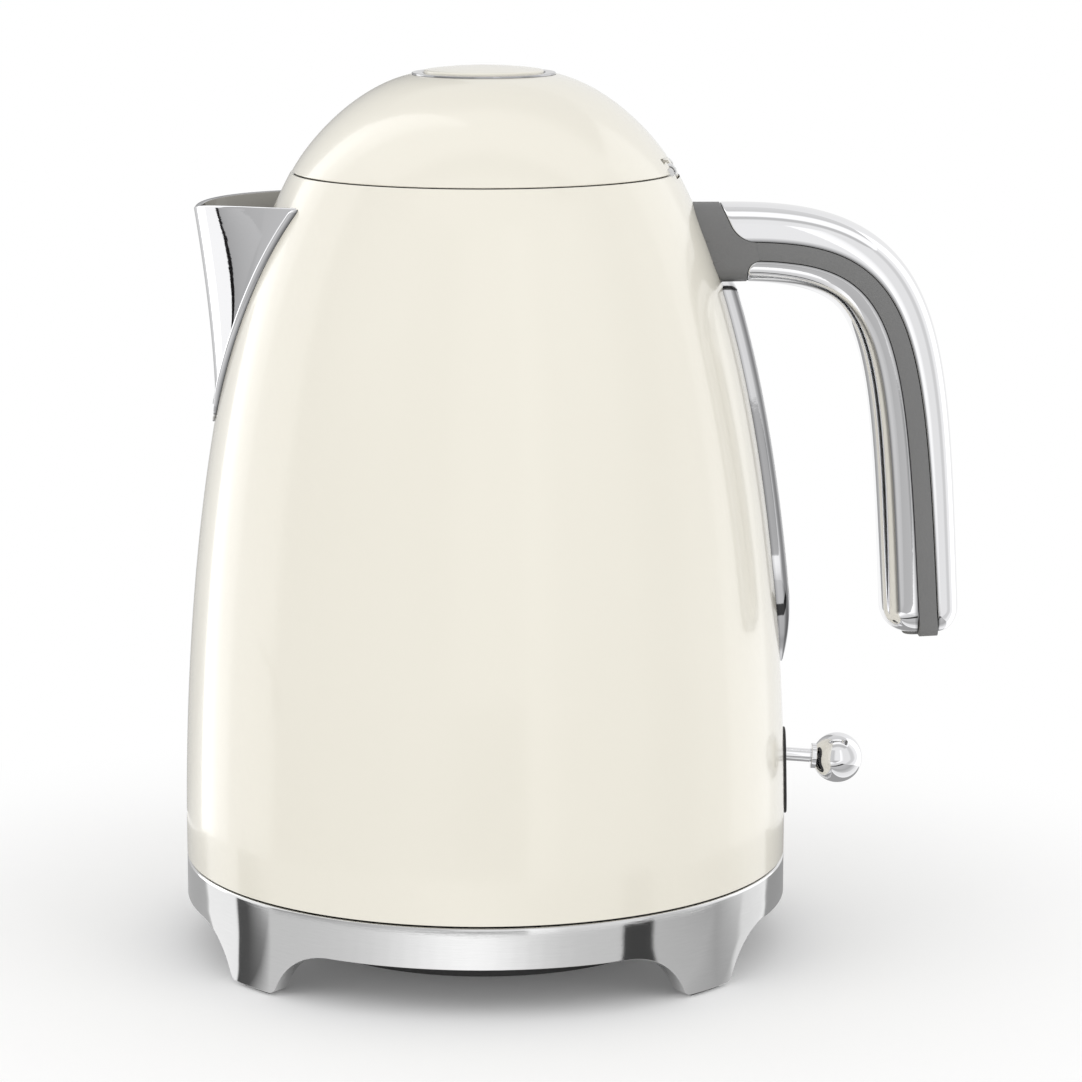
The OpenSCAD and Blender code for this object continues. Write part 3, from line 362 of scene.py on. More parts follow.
bodyShape = {
    "curve": [(85.5, 26.3), (85.8, 55.3), (84.2, 164.5), (53.8, 219.9)],
    "wall": 1.2, "seamGap": 0.28, "inset": 0.42, "rise": 26.62, "crownDrop": 3.4, "crownOut": 15.5,
    "lidWall": 1.2, "ringRadius": 20.0, "edge": 0.25,
}
bodyTop = bodyShape["curve"][3]
lidFoot = np.array([bodyTop[0] - bodyShape["inset"], bodyTop[1] + bodyShape["seamGap"]])
seamWay = cubic(bodyShape["curve"], [1.0])[1][0]
crownZ = lidFoot[1] + bodyShape["rise"]
lidCurve = [lidFoot, lidFoot + 10 * seamWay,
            (bodyShape["ringRadius"] + bodyShape["crownOut"], crownZ - bodyShape["crownDrop"]),
            (bodyShape["ringRadius"], crownZ)]
bodyTable = cubic(bodyShape["curve"], np.linspace(0, 1, 2000))[0]


def bodyAt(z):
    # the body's outer radius at a height
    return np.interp(z, bodyTable[:, 1], bodyTable[:, 0])


def wallPair(curve, wall, t, edge):
    # outer and inner line of a sheet; each line is drawn towards the sheet's middle near its ends
    line, way = cubic(curve, t)
    inward = np.stack([-way[:, 1], way[:, 0]], -1)
    length = np.concatenate([[0], np.cumsum(np.linalg.norm(np.diff(line, axis=0), axis=1))])
    near = np.minimum(length, length[-1] - length)
    draw = edge - np.sqrt(np.maximum(edge**2 - np.maximum(edge - near, 0) ** 2, 0))
    outer = line + inward * draw[:, None]
    inner = line + inward * (wall - draw)[:, None]
    return outer, inner


patchColumns = 41


def roundAxis(line, angle):
    # a line, as radius and height, carried to each angle about the axis
    return np.stack([line[:, 0] * np.cos(angle), line[:, 0] * np.sin(angle), line[:, 1] + 0 * angle], -1)


def gappedShell(name, outer, inner, gapA, gapB, columns, *rest, **more):
    # a wall round the axis in two mirrored halves; gapA and gapB are the openings at +X and -X,
    # each as an angle for every row, and a mask of the rows where a patch of wall closes it again
    rows, size = len(outer), columns * len(outer)
    sheets = []
    low, high = gapA[0], math.pi - gapB[0]
    spread = np.linspace(0, 1, columns)[:, None]
    for line in (outer, inner):
        angle = low + (high - low) * spread
        sheets.append(roundAxis(line, angle))
    i, j = np.arange(columns - 1), np.arange(rows - 1)
    faces = [gridQuads(columns, rows), gridQuads(columns, rows, size)[:, ::-1]]
    for row, turn in ((0, 1), (rows - 1, -1)):
        k = i * rows + row
        faces.append(np.stack([k, k + rows, size + k + rows, size + k], -1)[:, ::turn])
    for column, (gap, closed), turn in ((0, gapA, -1), (columns - 1, gapB, 1)):
        k = j[(gap[:-1] + gap[1:] > 0) & ~(closed[:-1] & closed[1:])] + column * rows
        faces.append(np.stack([k, k + 1, size + k + 1, size + k], -1)[:, ::turn])
    faces = np.concatenate(faces)
    half = np.concatenate([sheets[0].reshape(-1, 3), sheets[1].reshape(-1, 3)])
    points, quads = [half, half * [1, -1, 1]], [faces, faces[:, ::-1] + len(half)]
    total = 2 * len(half)
    for side, (gap, closed) in ((0, gapA), (math.pi, gapB)):
        span = np.flatnonzero(closed)
        if len(span) == 0:
            continue
        count = patchColumns
        angle = side + gap[span] * np.linspace(-1, 1, count)[:, None]
        for line in (outer[span], inner[span]):
            points.append(roundAxis(line, angle).reshape(-1, 3))
        n, m = len(span), count * len(span)
        quads += [gridQuads(count, n, total), gridQuads(count, n, total + m)[:, ::-1]]
        i = np.arange(count - 1) * n + total
        for row, turn in ((0, 1), (n - 1, -1)):
            if row == 0 or span[-1] == rows - 1:
                k = i + row
                quads.append(np.stack([k, k + n, m + k + n, m + k], -1)[:, ::turn])
        total += 2 * m
    return addPiece(name, np.concatenate(points), np.concatenate(quads), *rest, **more)


def heights(curve, marks, count):
    # curve positions: even steps, and a close pair at each height where an opening starts or ends
    t = np.linspace(0, 1, 4000)
    z = cubic(curve, t)[0][:, 1]
    extra = [np.interp([m - 0.03, m + 0.03], z, t) for m in marks if z[0] < m < z[-1]]
    ends = np.linspace(0, 1, 7)[1:] ** 2 * 0.006
    return np.unique(np.concatenate([np.linspace(0, 1, count), ends, 1 - ends, *extra]))


def roundSlot(z, half, low, high):
    # half width of an upright slot with round ends
    end = np.minimum(z - low, high - z)
    bend = np.sqrt(np.maximum(half**2 - (half - end) ** 2, 0))
    return np.where(end <= 0, 0, np.where(end < half, bend, half))


spout = {
    "reach": 80.9, "tipZ": 209.9, "lipZ": 212.2, "lowZ": 149.5, "half": 8.0, "flare": 0.36, "round": 5.0,
    "band": 3.2, "proud": 2.0, "wall": 1.2, "foot": 4.0, "ridge": 6.5, "lean": 5.2, "leanPower": 1.6,
    "cutShare": 0.55, "lipRound": 0.55, "innerPaintedShade": 0.62, "innerRaise": 3.5, "openingLow": 4.0,
}


def veeHalf(z, cut=0.0, low=0.0):
    # half width of the spout's outline, drawn in by cut and raised by low: an ellipse below,
    # then a straight flare
    half = spout["half"] - spout["cutShare"] * cut
    up = z - spout["lowZ"] - low
    bend = half * np.sqrt(np.maximum(0, 1 - np.clip(1 - up / spout["round"], 0, 1) ** 2))
    flared = half + spout["flare"] * (up - spout["round"]) + spout["flare"] * low
    return np.where(up < spout["round"], bend, flared)


leverSlot = {"half": 2.7, "low": 39.0, "high": 58.0}
gauge = {"half": 9.5, "rim": 3.0, "low": 80.0, "high": 188.0, "tip": 34.0, "tipHalf": 0.4,
         "proud": 4.0, "taper": 20.0, "tipShare": 0.2, "bend": 1.2, "points": 70}


def leafHalf(z, half, low=0.0, high=0.0):
    # half width of the gauge's outline: a parabola that closes downwards, then straight
    u = np.clip((z - gauge["low"] - low) / gauge["tip"], 0, 1)
    inside = (z >= gauge["low"] + low) & (z <= gauge["high"] - high)
    return np.where(inside, half * (1 - (1 - u) ** 2) + gauge["tipHalf"], 0)


# the body turns one cubic curve about the axis; each opening is an angle for every row, whose sine is
# the opening's half width over the body's radius
shellRows = {"body": 185, "lid": 90}
shellColumns = {"body": 104, "lid": 150}
gaugeSlot = {"inset": 2, "tip": 12, "top": 6}
hingeNotch = {"half": 15.2, "bodyZ": 218.6, "lidZ": 224.3, "rampEnd": 210}
slotEnd = {"gauge": 182.0, "spout": spout["lipZ"] - 4.3}
gaugeLow = gauge["low"] + gaugeSlot["tip"]
openingZ = spout["lowZ"] + spout["openingLow"]
marks = [leverSlot["low"], leverSlot["high"], gaugeLow, slotEnd["gauge"], openingZ, slotEnd["spout"],
         hingeNotch["bodyZ"]]
t = heights(bodyShape["curve"], marks, shellRows["body"])
outer, inner = wallPair(bodyShape["curve"], bodyShape["wall"], t, bodyShape["edge"])
z = outer[:, 1]
gaugeSide = gauge["half"] - gauge["rim"] - gaugeSlot["inset"]
slot = roundSlot(z, **leverSlot) + leafHalf(z, gaugeSide, gaugeSlot["tip"], gaugeSlot["top"])
angle = np.arcsin(slot / bodyAt(z))
held = np.arcsin(slot[z < slotEnd["gauge"]][-1] / bodyAt(slotEnd["gauge"]))
notch = math.asin(hingeNotch["half"] / bodyAt(hingeNotch["bodyZ"]))
ramp = np.clip((z - slotEnd["gauge"]) / (hingeNotch["rampEnd"] - slotEnd["gauge"]), 0, 1)
angle = np.where(z > slotEnd["gauge"], held + (notch - held) * ramp, angle)
closed = (z > slotEnd["gauge"]) & (z < hingeNotch["bodyZ"])
opening = veeHalf(np.maximum(z, openingZ), spout["band"] + spout["wall"] + 0.5, spout["openingLow"])
front = np.where(z > openingZ, np.arcsin(opening / bodyAt(z)), 0)
held = front[z < slotEnd["spout"]][-1]
front = np.where(z > slotEnd["spout"], held, front)
gappedShell("bodyShell", outer, inner, (angle, closed), (front, z > slotEnd["spout"]), shellColumns["body"],
            "kettle", "cream_enamel", creamEnamel, stands=["body_shell"])

# the lid turns a second cubic, which goes on from the body's slope and flattens towards the button
t = heights(lidCurve, [hingeNotch["lidZ"]], shellRows["lid"])
outer, inner = wallPair(lidCurve, bodyShape["lidWall"], t, bodyShape["edge"])
inner[:, 1] = np.maximum(inner[:, 1], lidFoot[1])
z = outer[:, 1]
radius = np.interp(hingeNotch["lidZ"], z, outer[:, 0])
notch = np.arcsin(hingeNotch["half"] / np.where(z < hingeNotch["lidZ"], outer[:, 0], radius))
none = 0 * notch
closed = z > hingeNotch["lidZ"]
gappedShell("lidShell", outer, inner, (notch, closed), (none, none > 0), shellColumns["lid"],
            "lid", "cream_enamel", creamEnamel, stands=["lid_shell"])
print("body and lid made")

# the ring and the cap are turned outlines; the cap's top is a parabola
button = {
    "ringTop": 247.3, "radius": 16.7, "sleeve": 17.0, "lip": 0.6, "dome": 1.2, "skirt": 5.0,
    "ringDepth": 9, "ledge": 1.5, "capDepth": 1.8, "ringPaintedShade": 0.5,
}
ringOuter, ringSeat = bodyShape["ringRadius"], crownZ + 0.02
ringNeck, ringLow = ringOuter - button["ledge"], crownZ - button["ringDepth"]
ringOutline = softened([
    (button["sleeve"], ringLow), (ringNeck, ringLow), (ringNeck, ringSeat), (ringOuter, ringSeat),
    (ringOuter, button["ringTop"]), (button["sleeve"], button["ringTop"]),
], [0.3, 0.3, 0, 0, 0.45, 0.45], 6)
# painted shade: the whole ring is drawn darker through edge, which dims what it mirrors
sweepPiece("buttonRing", turned(ringOutline, fullTurn()), "lid", "polished_trim", polished,
           stands=["button_ring"], ring=True, edge=button["ringPaintedShade"])
capZ = button["ringTop"] + button["lip"]
x = np.linspace(button["radius"], 0, 14)
capTop = np.stack([x, capZ + button["dome"] * (1 - (x / button["radius"]) ** 2)], -1)
skirtR = button["radius"] - button["ledge"]
skirtLow, capLow = capZ - button["skirt"], capZ - button["capDepth"]
capOutline = softened(np.concatenate([
    [(0, capLow), (skirtR, capLow), (skirtR, skirtLow), (button["radius"], skirtLow)], capTop,
]), [0, 0.3, 0.3, 0.3, 0.9] + [0] * (len(capTop) - 1), 6)
sweepPiece("buttonCap", turned(capOutline, fullTurn()), "lid_button", "cream_button", creamCap,
           stands=["button_cap"], ring=True)

baseRing = {
    "radius": 85.5, "wall": 3.0, "foot": 5.5, "top": 25.8, "arch": 14.2, "ground": 0.8, "half": 8.9,
    "slant": 60, "corner": 3.0, "hollow": 20.0, "angle": 42.5, "turn": -1.6, "bevel": 0.8,
    "lowRound": 0.35, "innerBevel": 0.4, "ledge": 3.5, "ledgeTop": 20.0, "ledgeLow": 17.5,
}
footAngles = [middle + side * baseRing["angle"] + baseRing["turn"]
              for middle, side in ((0, 1), (180, -1), (180, 1), (0, -1))]


def footEdge(s):
    # height of the ring's lower edge at a distance s from a foot's middle: flat, a round corner,
    # a slant and a hollow
    slope = math.tan(math.radians(baseRing["slant"]))
    lean = math.tan(math.radians(baseRing["slant"] / 2))
    r, h = baseRing["corner"], baseRing["hollow"]
    c1 = baseRing["half"] - r * lean
    c2 = baseRing["half"] + (baseRing["arch"] - baseRing["ground"]) / slope + h * lean
    corner = baseRing["ground"] + r - np.sqrt(np.maximum(r * r - np.maximum(s - c1, 0) ** 2, 0))
    flank = baseRing["ground"] + (s - baseRing["half"]) * slope
    bend = math.sin(math.radians(baseRing["slant"]))
    arch = baseRing["arch"] - h + np.sqrt(np.maximum(h * h - np.minimum(s - c2, 0) ** 2, 0))
    return np.where(s < c1 + r * bend, corner, np.where(s < c2 - h * bend, flank, arch))


def ringAngles():
    # even steps, with close ones over each foot's flanks
    near = np.degrees(np.linspace(5, 30, 90) / baseRing["radius"])
    return np.unique(np.round(np.concatenate(
        [fullTurn(360)] + [(a + s * near) % 360 for a in footAngles for s in (-1, 1)]), 3))


angles = ringAngles()
apart = np.abs((angles[:, None] - np.array(footAngles) + 180) % 360 - 180).min(1)
edge = footEdge(baseRing["radius"] * np.sin(np.radians(np.minimum(apart, 90))))
# the ring's section at every angle: its lower edge and the step behind the feet follow footEdge
baseR, top, bevel, lowRound = baseRing["radius"], baseRing["top"], baseRing["bevel"], baseRing["lowRound"]
inR, footR = baseR - baseRing["wall"], baseR - baseRing["foot"]
ledgeR, ledgeTop, ledgeLow = inR - baseRing["ledge"], baseRing["ledgeTop"], baseRing["ledgeLow"]
innerBevel = baseRing["innerBevel"]
step = np.maximum(edge, baseRing["arch"] - 0.15)
arc = np.radians(np.linspace(0, 90, 6))
columns = [(baseR - lowRound + lowRound * np.sin(a), edge + lowRound - lowRound * np.cos(a)) for a in arc]
columns += [(baseR, edge + (top - bevel - edge) * k) for k in (0.3, 0.6, 1)]
columns += [(baseR - bevel + bevel * np.cos(a), top - bevel + bevel * np.sin(a)) for a in arc[1:]]
columns += [(inR + innerBevel, top), (inR, top - innerBevel), (inR, ledgeTop), (ledgeR, ledgeTop)]
columns += [(ledgeR, ledgeLow), (inR, ledgeLow), (inR, step + 0.02), (footR, step)]
columns += [(footR, edge + 0.5), (footR + 0.5, edge)]
ringGrid = np.stack([np.stack([r + 0 * edge, z + 0 * edge], -1) for r, z in columns], 1)
a = np.radians(angles)[:, None]
loops = np.stack([ringGrid[..., 0] * np.cos(a), ringGrid[..., 0] * np.sin(a), ringGrid[..., 1]], -1)
sweepPiece("baseRing", loops, "power_base", "satin_base", satinRing, stands=["base_ring"], ring=True)
print("button and base ring made")

beakLow = spout["lowZ"] + spout["foot"]


def ridgeAt(z):
    # distance of the spout's nose from the axis, which leans out more and more towards the tip
    straight = spout["tipZ"] - spout["lowZ"] - spout["ridge"]
    up = np.maximum(0, z - spout["lowZ"] - spout["ridge"]) / straight
    nose = spout["reach"] - spout["lean"] + spout["lean"] * up ** spout["leanPower"]
    return np.maximum(bodyAt(z) + spout["proud"] - 0.5, nose)


def beakLevel(v, cut, drop):
    # the nose lies between a parabola and an ellipse in plan; the lip dips towards the tip
    a = np.radians(np.linspace(-90, 90, 81))
    lip = spout["lipZ"] - (spout["lipZ"] - spout["tipZ"]) * (1 - np.abs(np.sin(a))) ** 2
    z = beakLow + (lip - beakLow) * v - drop
    half = veeHalf(z, spout["band"], spout["innerRaise"]) - slack - cut
    root = np.sqrt((bodyAt(z) + slack) ** 2 - half**2)
    back = 0.7 * np.sin(a) ** 2 + 0.3 * (1 - np.cos(a))
    nose = np.maximum(ridgeAt(z) - cut, root + 0.2)
    return np.stack([-(nose + (root - nose) * back), half * np.sin(a), z], -1)


levels = [(v, 0.0) for v in np.concatenate([[0.02], np.linspace(0.03, 0.99, 55)])]
levels += [(1.0, a) for a in np.radians(np.linspace(0, 90, 7))]
loops = []
for v, a in levels:
    draw = spout["lipRound"] * (1 - math.cos(a))
    drop = spout["lipRound"] * (1 - math.sin(a)) if v == 1 else 0
    loops.append(np.concatenate([beakLevel(v, draw, drop), beakLevel(v, spout["wall"] - draw, drop)[::-1]]))
loops = np.array(loops)
# painted shade: the spout's inner face is drawn darker through edge
inner = np.arange(loops.shape[1]) >= loops.shape[1] // 2
sweepPiece("spoutBeak", loops, "kettle", "polished_trim", polished, stands=["spout_beak"],
           edge=np.broadcast_to(inner * spout["innerPaintedShade"], loops.shape[:2]))


def onBody(side, y, z, h):
    # a point at height h above the body's skin, at +X or -X
    return np.stack([side * np.sqrt(np.maximum((bodyAt(z) + h) ** 2 - y * y, 0)), y, z], -1)


# groove and the last two entries set the painted shade on the flange's bead
flange = {"below": 0.3, "riseWay": 14, "lowShare": 0.3, "endRound": 1.5, "groove": 0.07,
          "outerPaintedShade": 0.95, "innerPaintedShade": 0.6}


def flangeLine(up, cut, low):
    # one edge of the flange on the +Y side, at shares of the way up from its tip to its top
    z = spout["lowZ"] + low + up * (spout["lipZ"] - flange["below"] - spout["lowZ"] - low)
    return np.stack([veeHalf(z, cut, low), z], -1)


# the shares lie close together at both ends; bead is the flange's section, a share of its width
# and a height
share = np.concatenate([0.08 * (1 - np.cos(np.linspace(0, math.pi / 2, 26))), np.linspace(0.09, 0.97, 60),
                        1 - 0.03 * np.linspace(1, 0, 12)[1:] ** 2])
outside, inside = flangeLine(share, 0, 0), flangeLine(share, spout["band"], spout["innerRaise"])
length = np.concatenate([[0], np.cumsum(np.linalg.norm(np.diff(outside, axis=0), axis=1))])
end = np.maximum(length[-1] - length, 0)
low = np.clip((outside[:, 1] - spout["lowZ"]) / flange["riseWay"], 0, 1)
tip = np.sqrt(1 - np.clip(1 - (end + 0.06) / flange["endRound"], 0, 1) ** 2)
rise = (flange["lowShare"] + (1 - flange["lowShare"]) * np.sin(low * math.pi / 2)) * tip
bead = softened([(0.02, 0.0), (0.02, 1.7), (0.42, 1.9), (0.5, 1.5), (0.58, 1.7), (0.98, 1.5), (0.98, 0.0)],
                [0, 0.5, 0.12, 0.08, 0.12, 0.3, 0], 5)
place = 0.5 + (bead[:, 0] - 0.5) * tip[:, None]
half = outside[:, None] + (inside - outside)[:, None] * place[..., None]
loops = onBody(-1, half[..., 0], half[..., 1], slack + bead[:, 1] * rise[:, None])
loops = np.concatenate([loops[:0:-1] * [1, -1, 1], loops])
# painted shade: the bead is drawn darker at its feet, where it meets the body, and along its middle groove
sidePaintedShade = np.where(bead[:, 0] < 0.5, flange["outerPaintedShade"], flange["innerPaintedShade"])
foot = np.clip(1 - bead[:, 1] / 1.5, 0, 1) * sidePaintedShade
groove = np.clip(1 - np.abs(bead[:, 0] - 0.5) / flange["groove"], 0, 1)
dark = np.maximum(foot, flange["innerPaintedShade"] * groove)
sweepPiece("spoutFlange", loops, "kettle", "polished_trim", polished, stands=["spout_flange"],
           edge=np.broadcast_to(dark, loops.shape[:2]))
print("spout made")


def gaugeRise(z):
    # height of the gauge's frame over the body, which grows from the tip upwards as a sine
    grown = np.sin(np.pi / 2 * np.clip((z - gauge["low"]) / gauge["taper"], 0, 1))
    return gauge["proud"] * (gauge["tipShare"] + (1 - gauge["tipShare"]) * grown)


def matchedPath(inset, low, high):
    # the gauge's outline with a fixed number of points: side, round corner, middle of the top, and back
    u = np.linspace(0, 1, gauge["points"]) ** 1.3
    bendR = gauge["bend"]
    top = gauge["high"] - high - bendR
    z = gauge["low"] + low + (top - gauge["low"] - low) * u
    grown = np.clip((z - gauge["low"] - low) / gauge["tip"], 0, 1)
    y = (gauge["half"] - inset) * (1 - (1 - grown) ** 2) + gauge["tipHalf"]
    bend = np.radians(np.linspace(0, 90, 9))[1:]
    corner = np.stack([y[-1] - bendR + bendR * np.cos(bend), top + bendR * np.sin(bend)], -1)
    half = np.concatenate([np.stack([y, z], -1), corner])
    return np.concatenate([half, (half * [-1, 1])[::-1]])


# inset, how much further in at the tip and at the top, share of the height, and how dark it is drawn with
# painted shade and painted reflection
rims = [
    (0.0, 0.0, 0.0, 0.0, 0.5), (0.0, 0.0, 0.0, 0.08, 0.35), (0.0, 0.0, 0.0, 0.2, 0.15),
    (0.0, 0.0, 0.0, 0.5, 0.2), (0.0, 0.0, 0.0, 0.68, 0.75), (0.12, 0.3, 0.1, 0.84, 0.75),
    (0.35, 0.8, 0.3, 0.96, 0.1), (0.7, 1.6, 0.6, 1.0, 0), (1.9, 6.0, 1.9, 1.0, 0),
    (2.4, 8.0, 2.4, 0.95, 0.1), (3.0, 10.0, 3.0, 0.8, 0.5), (3.0, 10.0, 3.0, 0.0, 0.5),
]
lines, dark = [], []
for inset, low, high, share, edge in rims:
    line = matchedPath(inset, low, high)
    lines.append(onBody(1, line[:, 0], line[:, 1], slack + (gaugeRise(line[:, 1]) - slack) * share))
    dark.append(np.full(len(line), edge))
# painted shade and painted reflection: the frame is drawn darker at its foot on the body, in a band high on
# its side, and on its inner wall by the pane
sweepPiece("gaugeFrame", np.stack(lines, 1), "kettle", "polished_trim", polished,
           stands=["gauge_frame"], ring=True, edge=np.stack(dark, 1))

# the pane: inset, how much further in at the tip and at the top, and height over the body
windowShape = [(3.1, 10.3, 3.1, 1.1), (3.1, 10.3, 3.1, 2.6), (3.5, 11.0, 3.5, 2.9), (6.5, 14.0, 8.0, 3.0)]
lines = []
for inset, low, high, h in windowShape:
    line = matchedPath(inset, low, high)
    lines.append(onBody(1, line[:, 0], line[:, 1], h + 0 * line[:, 1]))
line = matchedPath(*windowShape[0][:3])
for h in (windowShape[-1][3], windowShape[0][3]):
    lines.append(onBody(1, 0 * line[:, 0], line[:, 1], h + 0 * line[:, 1]))
sweepPiece("gaugeWindow", np.stack(lines, 1), "kettle", "clear_window", clearWindow,
           stands=["gauge_window"], ring=True)
print("gauge made")

handle = {
    "startX": 66.0, "z": 200.0, "reach": 123.6, "endZ": 88.6, "bend": [(-3.6, 1), (-4.6, -19)],
    "thick": 22.0, "wide": 23.0, "power": 2 / 2.6, "strip": 5.2, "drift": 1.8, "stations": 110,
    "wall": 1.1, "tipWall": 1.0, "startWall": 0.55, "outerRound": 0.35, "innerRound": 0.1,
    "startRound": 0.5, "endRound": 7.0, "tipLeft": 1.3, "shellEnd": 0.9,
    "lean": 0.45, "set": 7.0, "cornerUp": 4.6, "cornerLow": 3.4,
    "coreIn": 2.6, "coreEnd": 4.5, "stripIn": 5.5, "stripEnd": 2.5, "stripRound": 4, "stripSet": 0.12,
}
# a painted reflection, the dark line along the inner shell: where across it starts, how far it wanders and
# until where along; edgeDark is painted shade beside the strip and on the shells' inner walls
darkLine = {"start": 0.86, "drift": 0.3, "driftEnd": 0.55, "width": 0.05, "dark": 0.93, "edgeDark": 0.7}
# the grip follows one cubic curve in the plane of the handle
handleCurve = [(handle["startX"], handle["z"])]
handleCurve += [(handle["reach"] + x, handle["z"] + up) for x, up in handle["bend"]]
handleCurve += [(handle["reach"], handle["endZ"])]
handleHalf, stripHalf, handleB = handle["thick"] / 2, handle["strip"] / 2, handle["wide"] / 2

# sample angles round one side of the strip, close together beside it
fine = np.array([90, 89.98, 89.94, 89.86, 89.7, 89.45, 89.1, 88.5, 87.5, 86, 84, 81.5, 78.5])
arcAngles = np.radians(np.concatenate([-fine, np.linspace(-75, 75, 41), fine[::-1]]))


def halfArc(h, b, side, mid, soft=0.0):
    # a squared oval over one side of the strip: distance along the normal, and across;
    # soft rounds its edges
    cos, sin = np.abs(np.cos(arcAngles)), np.sin(arcAngles)
    off = (h - side * mid - stripHalf - soft / 4) * cos ** handle["power"]
    draw = soft - np.sqrt(np.maximum(soft**2 - np.maximum(soft - off, 0) ** 2, 0))
    across = (b - draw) * np.sign(sin) * np.abs(sin) ** handle["power"]
    return np.stack([mid + side * (stripHalf + soft / 4 + off), across], -1)


def upperEnd(d):
    # how far along the grip its shells start: a leaning line above the strip, and round corners beside it
    low, high = -stripHalf - handle["drift"], stripHalf - handle["drift"]
    line = np.interp(d, [low, high, handleHalf], [handle["set"], handle["lean"] * (handleHalf - high), 0])
    beside = np.where(d > 0, d - high, low - d)
    corner = np.where(d > (low + high) / 2, handle["cornerUp"], handle["cornerLow"])
    near = np.clip(1 - np.maximum(beside, 0) / corner, 0, 1)
    return line + corner * (1 - np.sqrt(1 - near**2))


def placed(loop, t, ahead, back=0.0):
    # a loop set across the grip's curve at t, moved along by a share of upperEnd, less back
    place, way = cubic(handleCurve, [t])
    c, w = place[0], way[0]
    d, across = loop.T
    s = ahead * upperEnd(d) - back
    return np.stack([c[0] + w[0] * s - w[1] * d, across, c[1] + w[1] * s + w[0] * d], -1)


def midAt(t):
    # where the strip's middle lies: it drifts from one side to the other along the grip
    return handle["drift"] * (2 * t - 1)


def tipRound(side):
    # radius of the round lower end of a shell
    return min(handle["endRound"], handleHalf - stripHalf - side * handle["drift"] - handle["tipLeft"])


tail = cubic(handleCurve, [0.97, 1.0])[0]
endT = 1 - 0.03 * (handle["endRound"] + handle["shellEnd"]) / np.linalg.norm(tail[1] - tail[0])
stations = [(endT * k, max(0, 1 - 6 * k)) for k in np.linspace(0, 1, handle["stations"])]


def shellLoop(shrink, side, wall, t):
    # outline of a shell: out along its outer side and back along its inner one
    h, b = handleHalf - shrink, handleB - shrink
    outer = halfArc(h, b, side, midAt(t), handle["outerRound"])
    inner = halfArc(h - wall, b - wall, side, midAt(t), handle["innerRound"])
    return np.concatenate([outer, inner[::-1]])


def shellPiece(name, side, node):
    # a metal shell of the grip: a short round start, its length, and a round lower end
    starts, ends = np.radians(np.linspace(90, 10, 6)), np.radians(np.linspace(6, 90, 15))
    loops = []
    for a in starts:  # the upper end, rounded over a short way
        loop = shellLoop(handle["startRound"] * (1 - math.cos(a)), side, handle["startWall"], 0)
        loops.append(placed(loop, 0, 1, -handle["startRound"] * (1 - math.sin(a))))
    for t, ahead in stations:
        back = -handle["startRound"] if t == 0 else 0
        loops.append(placed(shellLoop(0, side, handle["wall"], t), t, ahead, back))
    for a in ends:
        shrink = tipRound(side) * (1 - math.cos(a))
        wall = handle["wall"] if a < 1.2 else handle["tipWall"]
        back = handle["endRound"] * (1 - math.sin(a)) + handle["shellEnd"]
        loops.append(placed(shellLoop(shrink, side, wall, 1), 1, 0, back))
    # painted shade beside the strip and on each shell's inner wall, and on the inner shell a painted
    # reflection: a dark line
    beside = np.clip(1 - (np.pi / 2 - np.abs(arcAngles)) / math.radians(4), 0, 1) * darkLine["edgeDark"]
    along = np.concatenate([0 * starts, [t for t, _ in stations], np.ones(len(ends))])[:, None]
    wander = darkLine["drift"] * np.clip(along / darkLine["driftEnd"], 0, 1)
    off = np.cos(arcAngles) ** handle["power"] - darkLine["start"] + wander
    line = np.exp(-((off / darkLine["width"]) ** 2)) * (along < 1) * (side < 0)
    inside = np.full((len(loops), len(arcAngles)), darkLine["edgeDark"])
    dark = np.concatenate([np.maximum(beside, line * darkLine["dark"]), inside], 1)
    return sweepPiece(name, np.array(loops), "kettle", "polished_trim", polished, stands=[node], edge=dark)


shellPiece("outerHandle", 1, "handle_outer_shell")
shellPiece("innerHandle", -1, "handle_inner_shell")


def coreLoop(h, b, stripB, t, soft=0.25):
    # outline of the core: a squared oval with the strip standing out of it on both sides
    m, e = midAt(t), stripHalf - slack
    edge = [(e - 0.25, 0), (e - 0.07, 0.2 * soft), (e, soft)]  # the strip's rounded edge
    upper = np.concatenate([[(m + d, -stripB + draw) for d, draw in edge], halfArc(h, b, 1, m),
                            [(m + d, stripB - draw) for d, draw in edge[::-1]]])
    lower = np.concatenate([[(m - d, -stripB + draw) for d, draw in edge], halfArc(h, b, -1, m),
                            [(m - d, stripB - draw) for d, draw in edge[::-1]]])
    return np.concatenate([upper, lower[::-1]])


def onSkin(loop):
    # a loop of the handle's root laid on the body
    z = handle["z"] + loop[:, 0]
    return np.stack([np.sqrt((bodyAt(z) + slack) ** 2 - loop[:, 1] ** 2), loop[:, 1], z], -1)


coreH, coreB = handleHalf - handle["wall"] - slack, handleB - handle["wall"] - slack
stripB = handleB - handle["stripSet"]
full = coreLoop(handleHalf, handleB - 0.02, handleB - 0.01, 0, 0)
skin, start = onSkin(full), placed(full, 0, 1, 0.1)
loops = [skin + (start - skin) * k for k in np.linspace(0, 1, 8)]
loops += [placed(coreLoop(coreH, coreB, stripB, t), t, ahead, slack) for t, ahead in stations]
endLoop = coreLoop(coreH - handle["coreIn"], coreB - handle["coreIn"], stripB, 1)
loops += [placed(endLoop, 1, 0, handle["coreEnd"])]
for a in np.radians(np.linspace(0, 90, 9)):
    half = stripB - handle["stripRound"] * (1 - math.cos(a))
    loop = coreLoop(stripHalf + handle["drift"] + 0.4, coreB - handle["stripIn"], half, 1)
    loops.append(placed(loop, 1, 0, handle["stripEnd"] * (1 - math.sin(a))))
sweepPiece("handleCore", np.array(loops), "kettle", "grey_core", greyCore, stands=["handle_core"])
print("handle made")

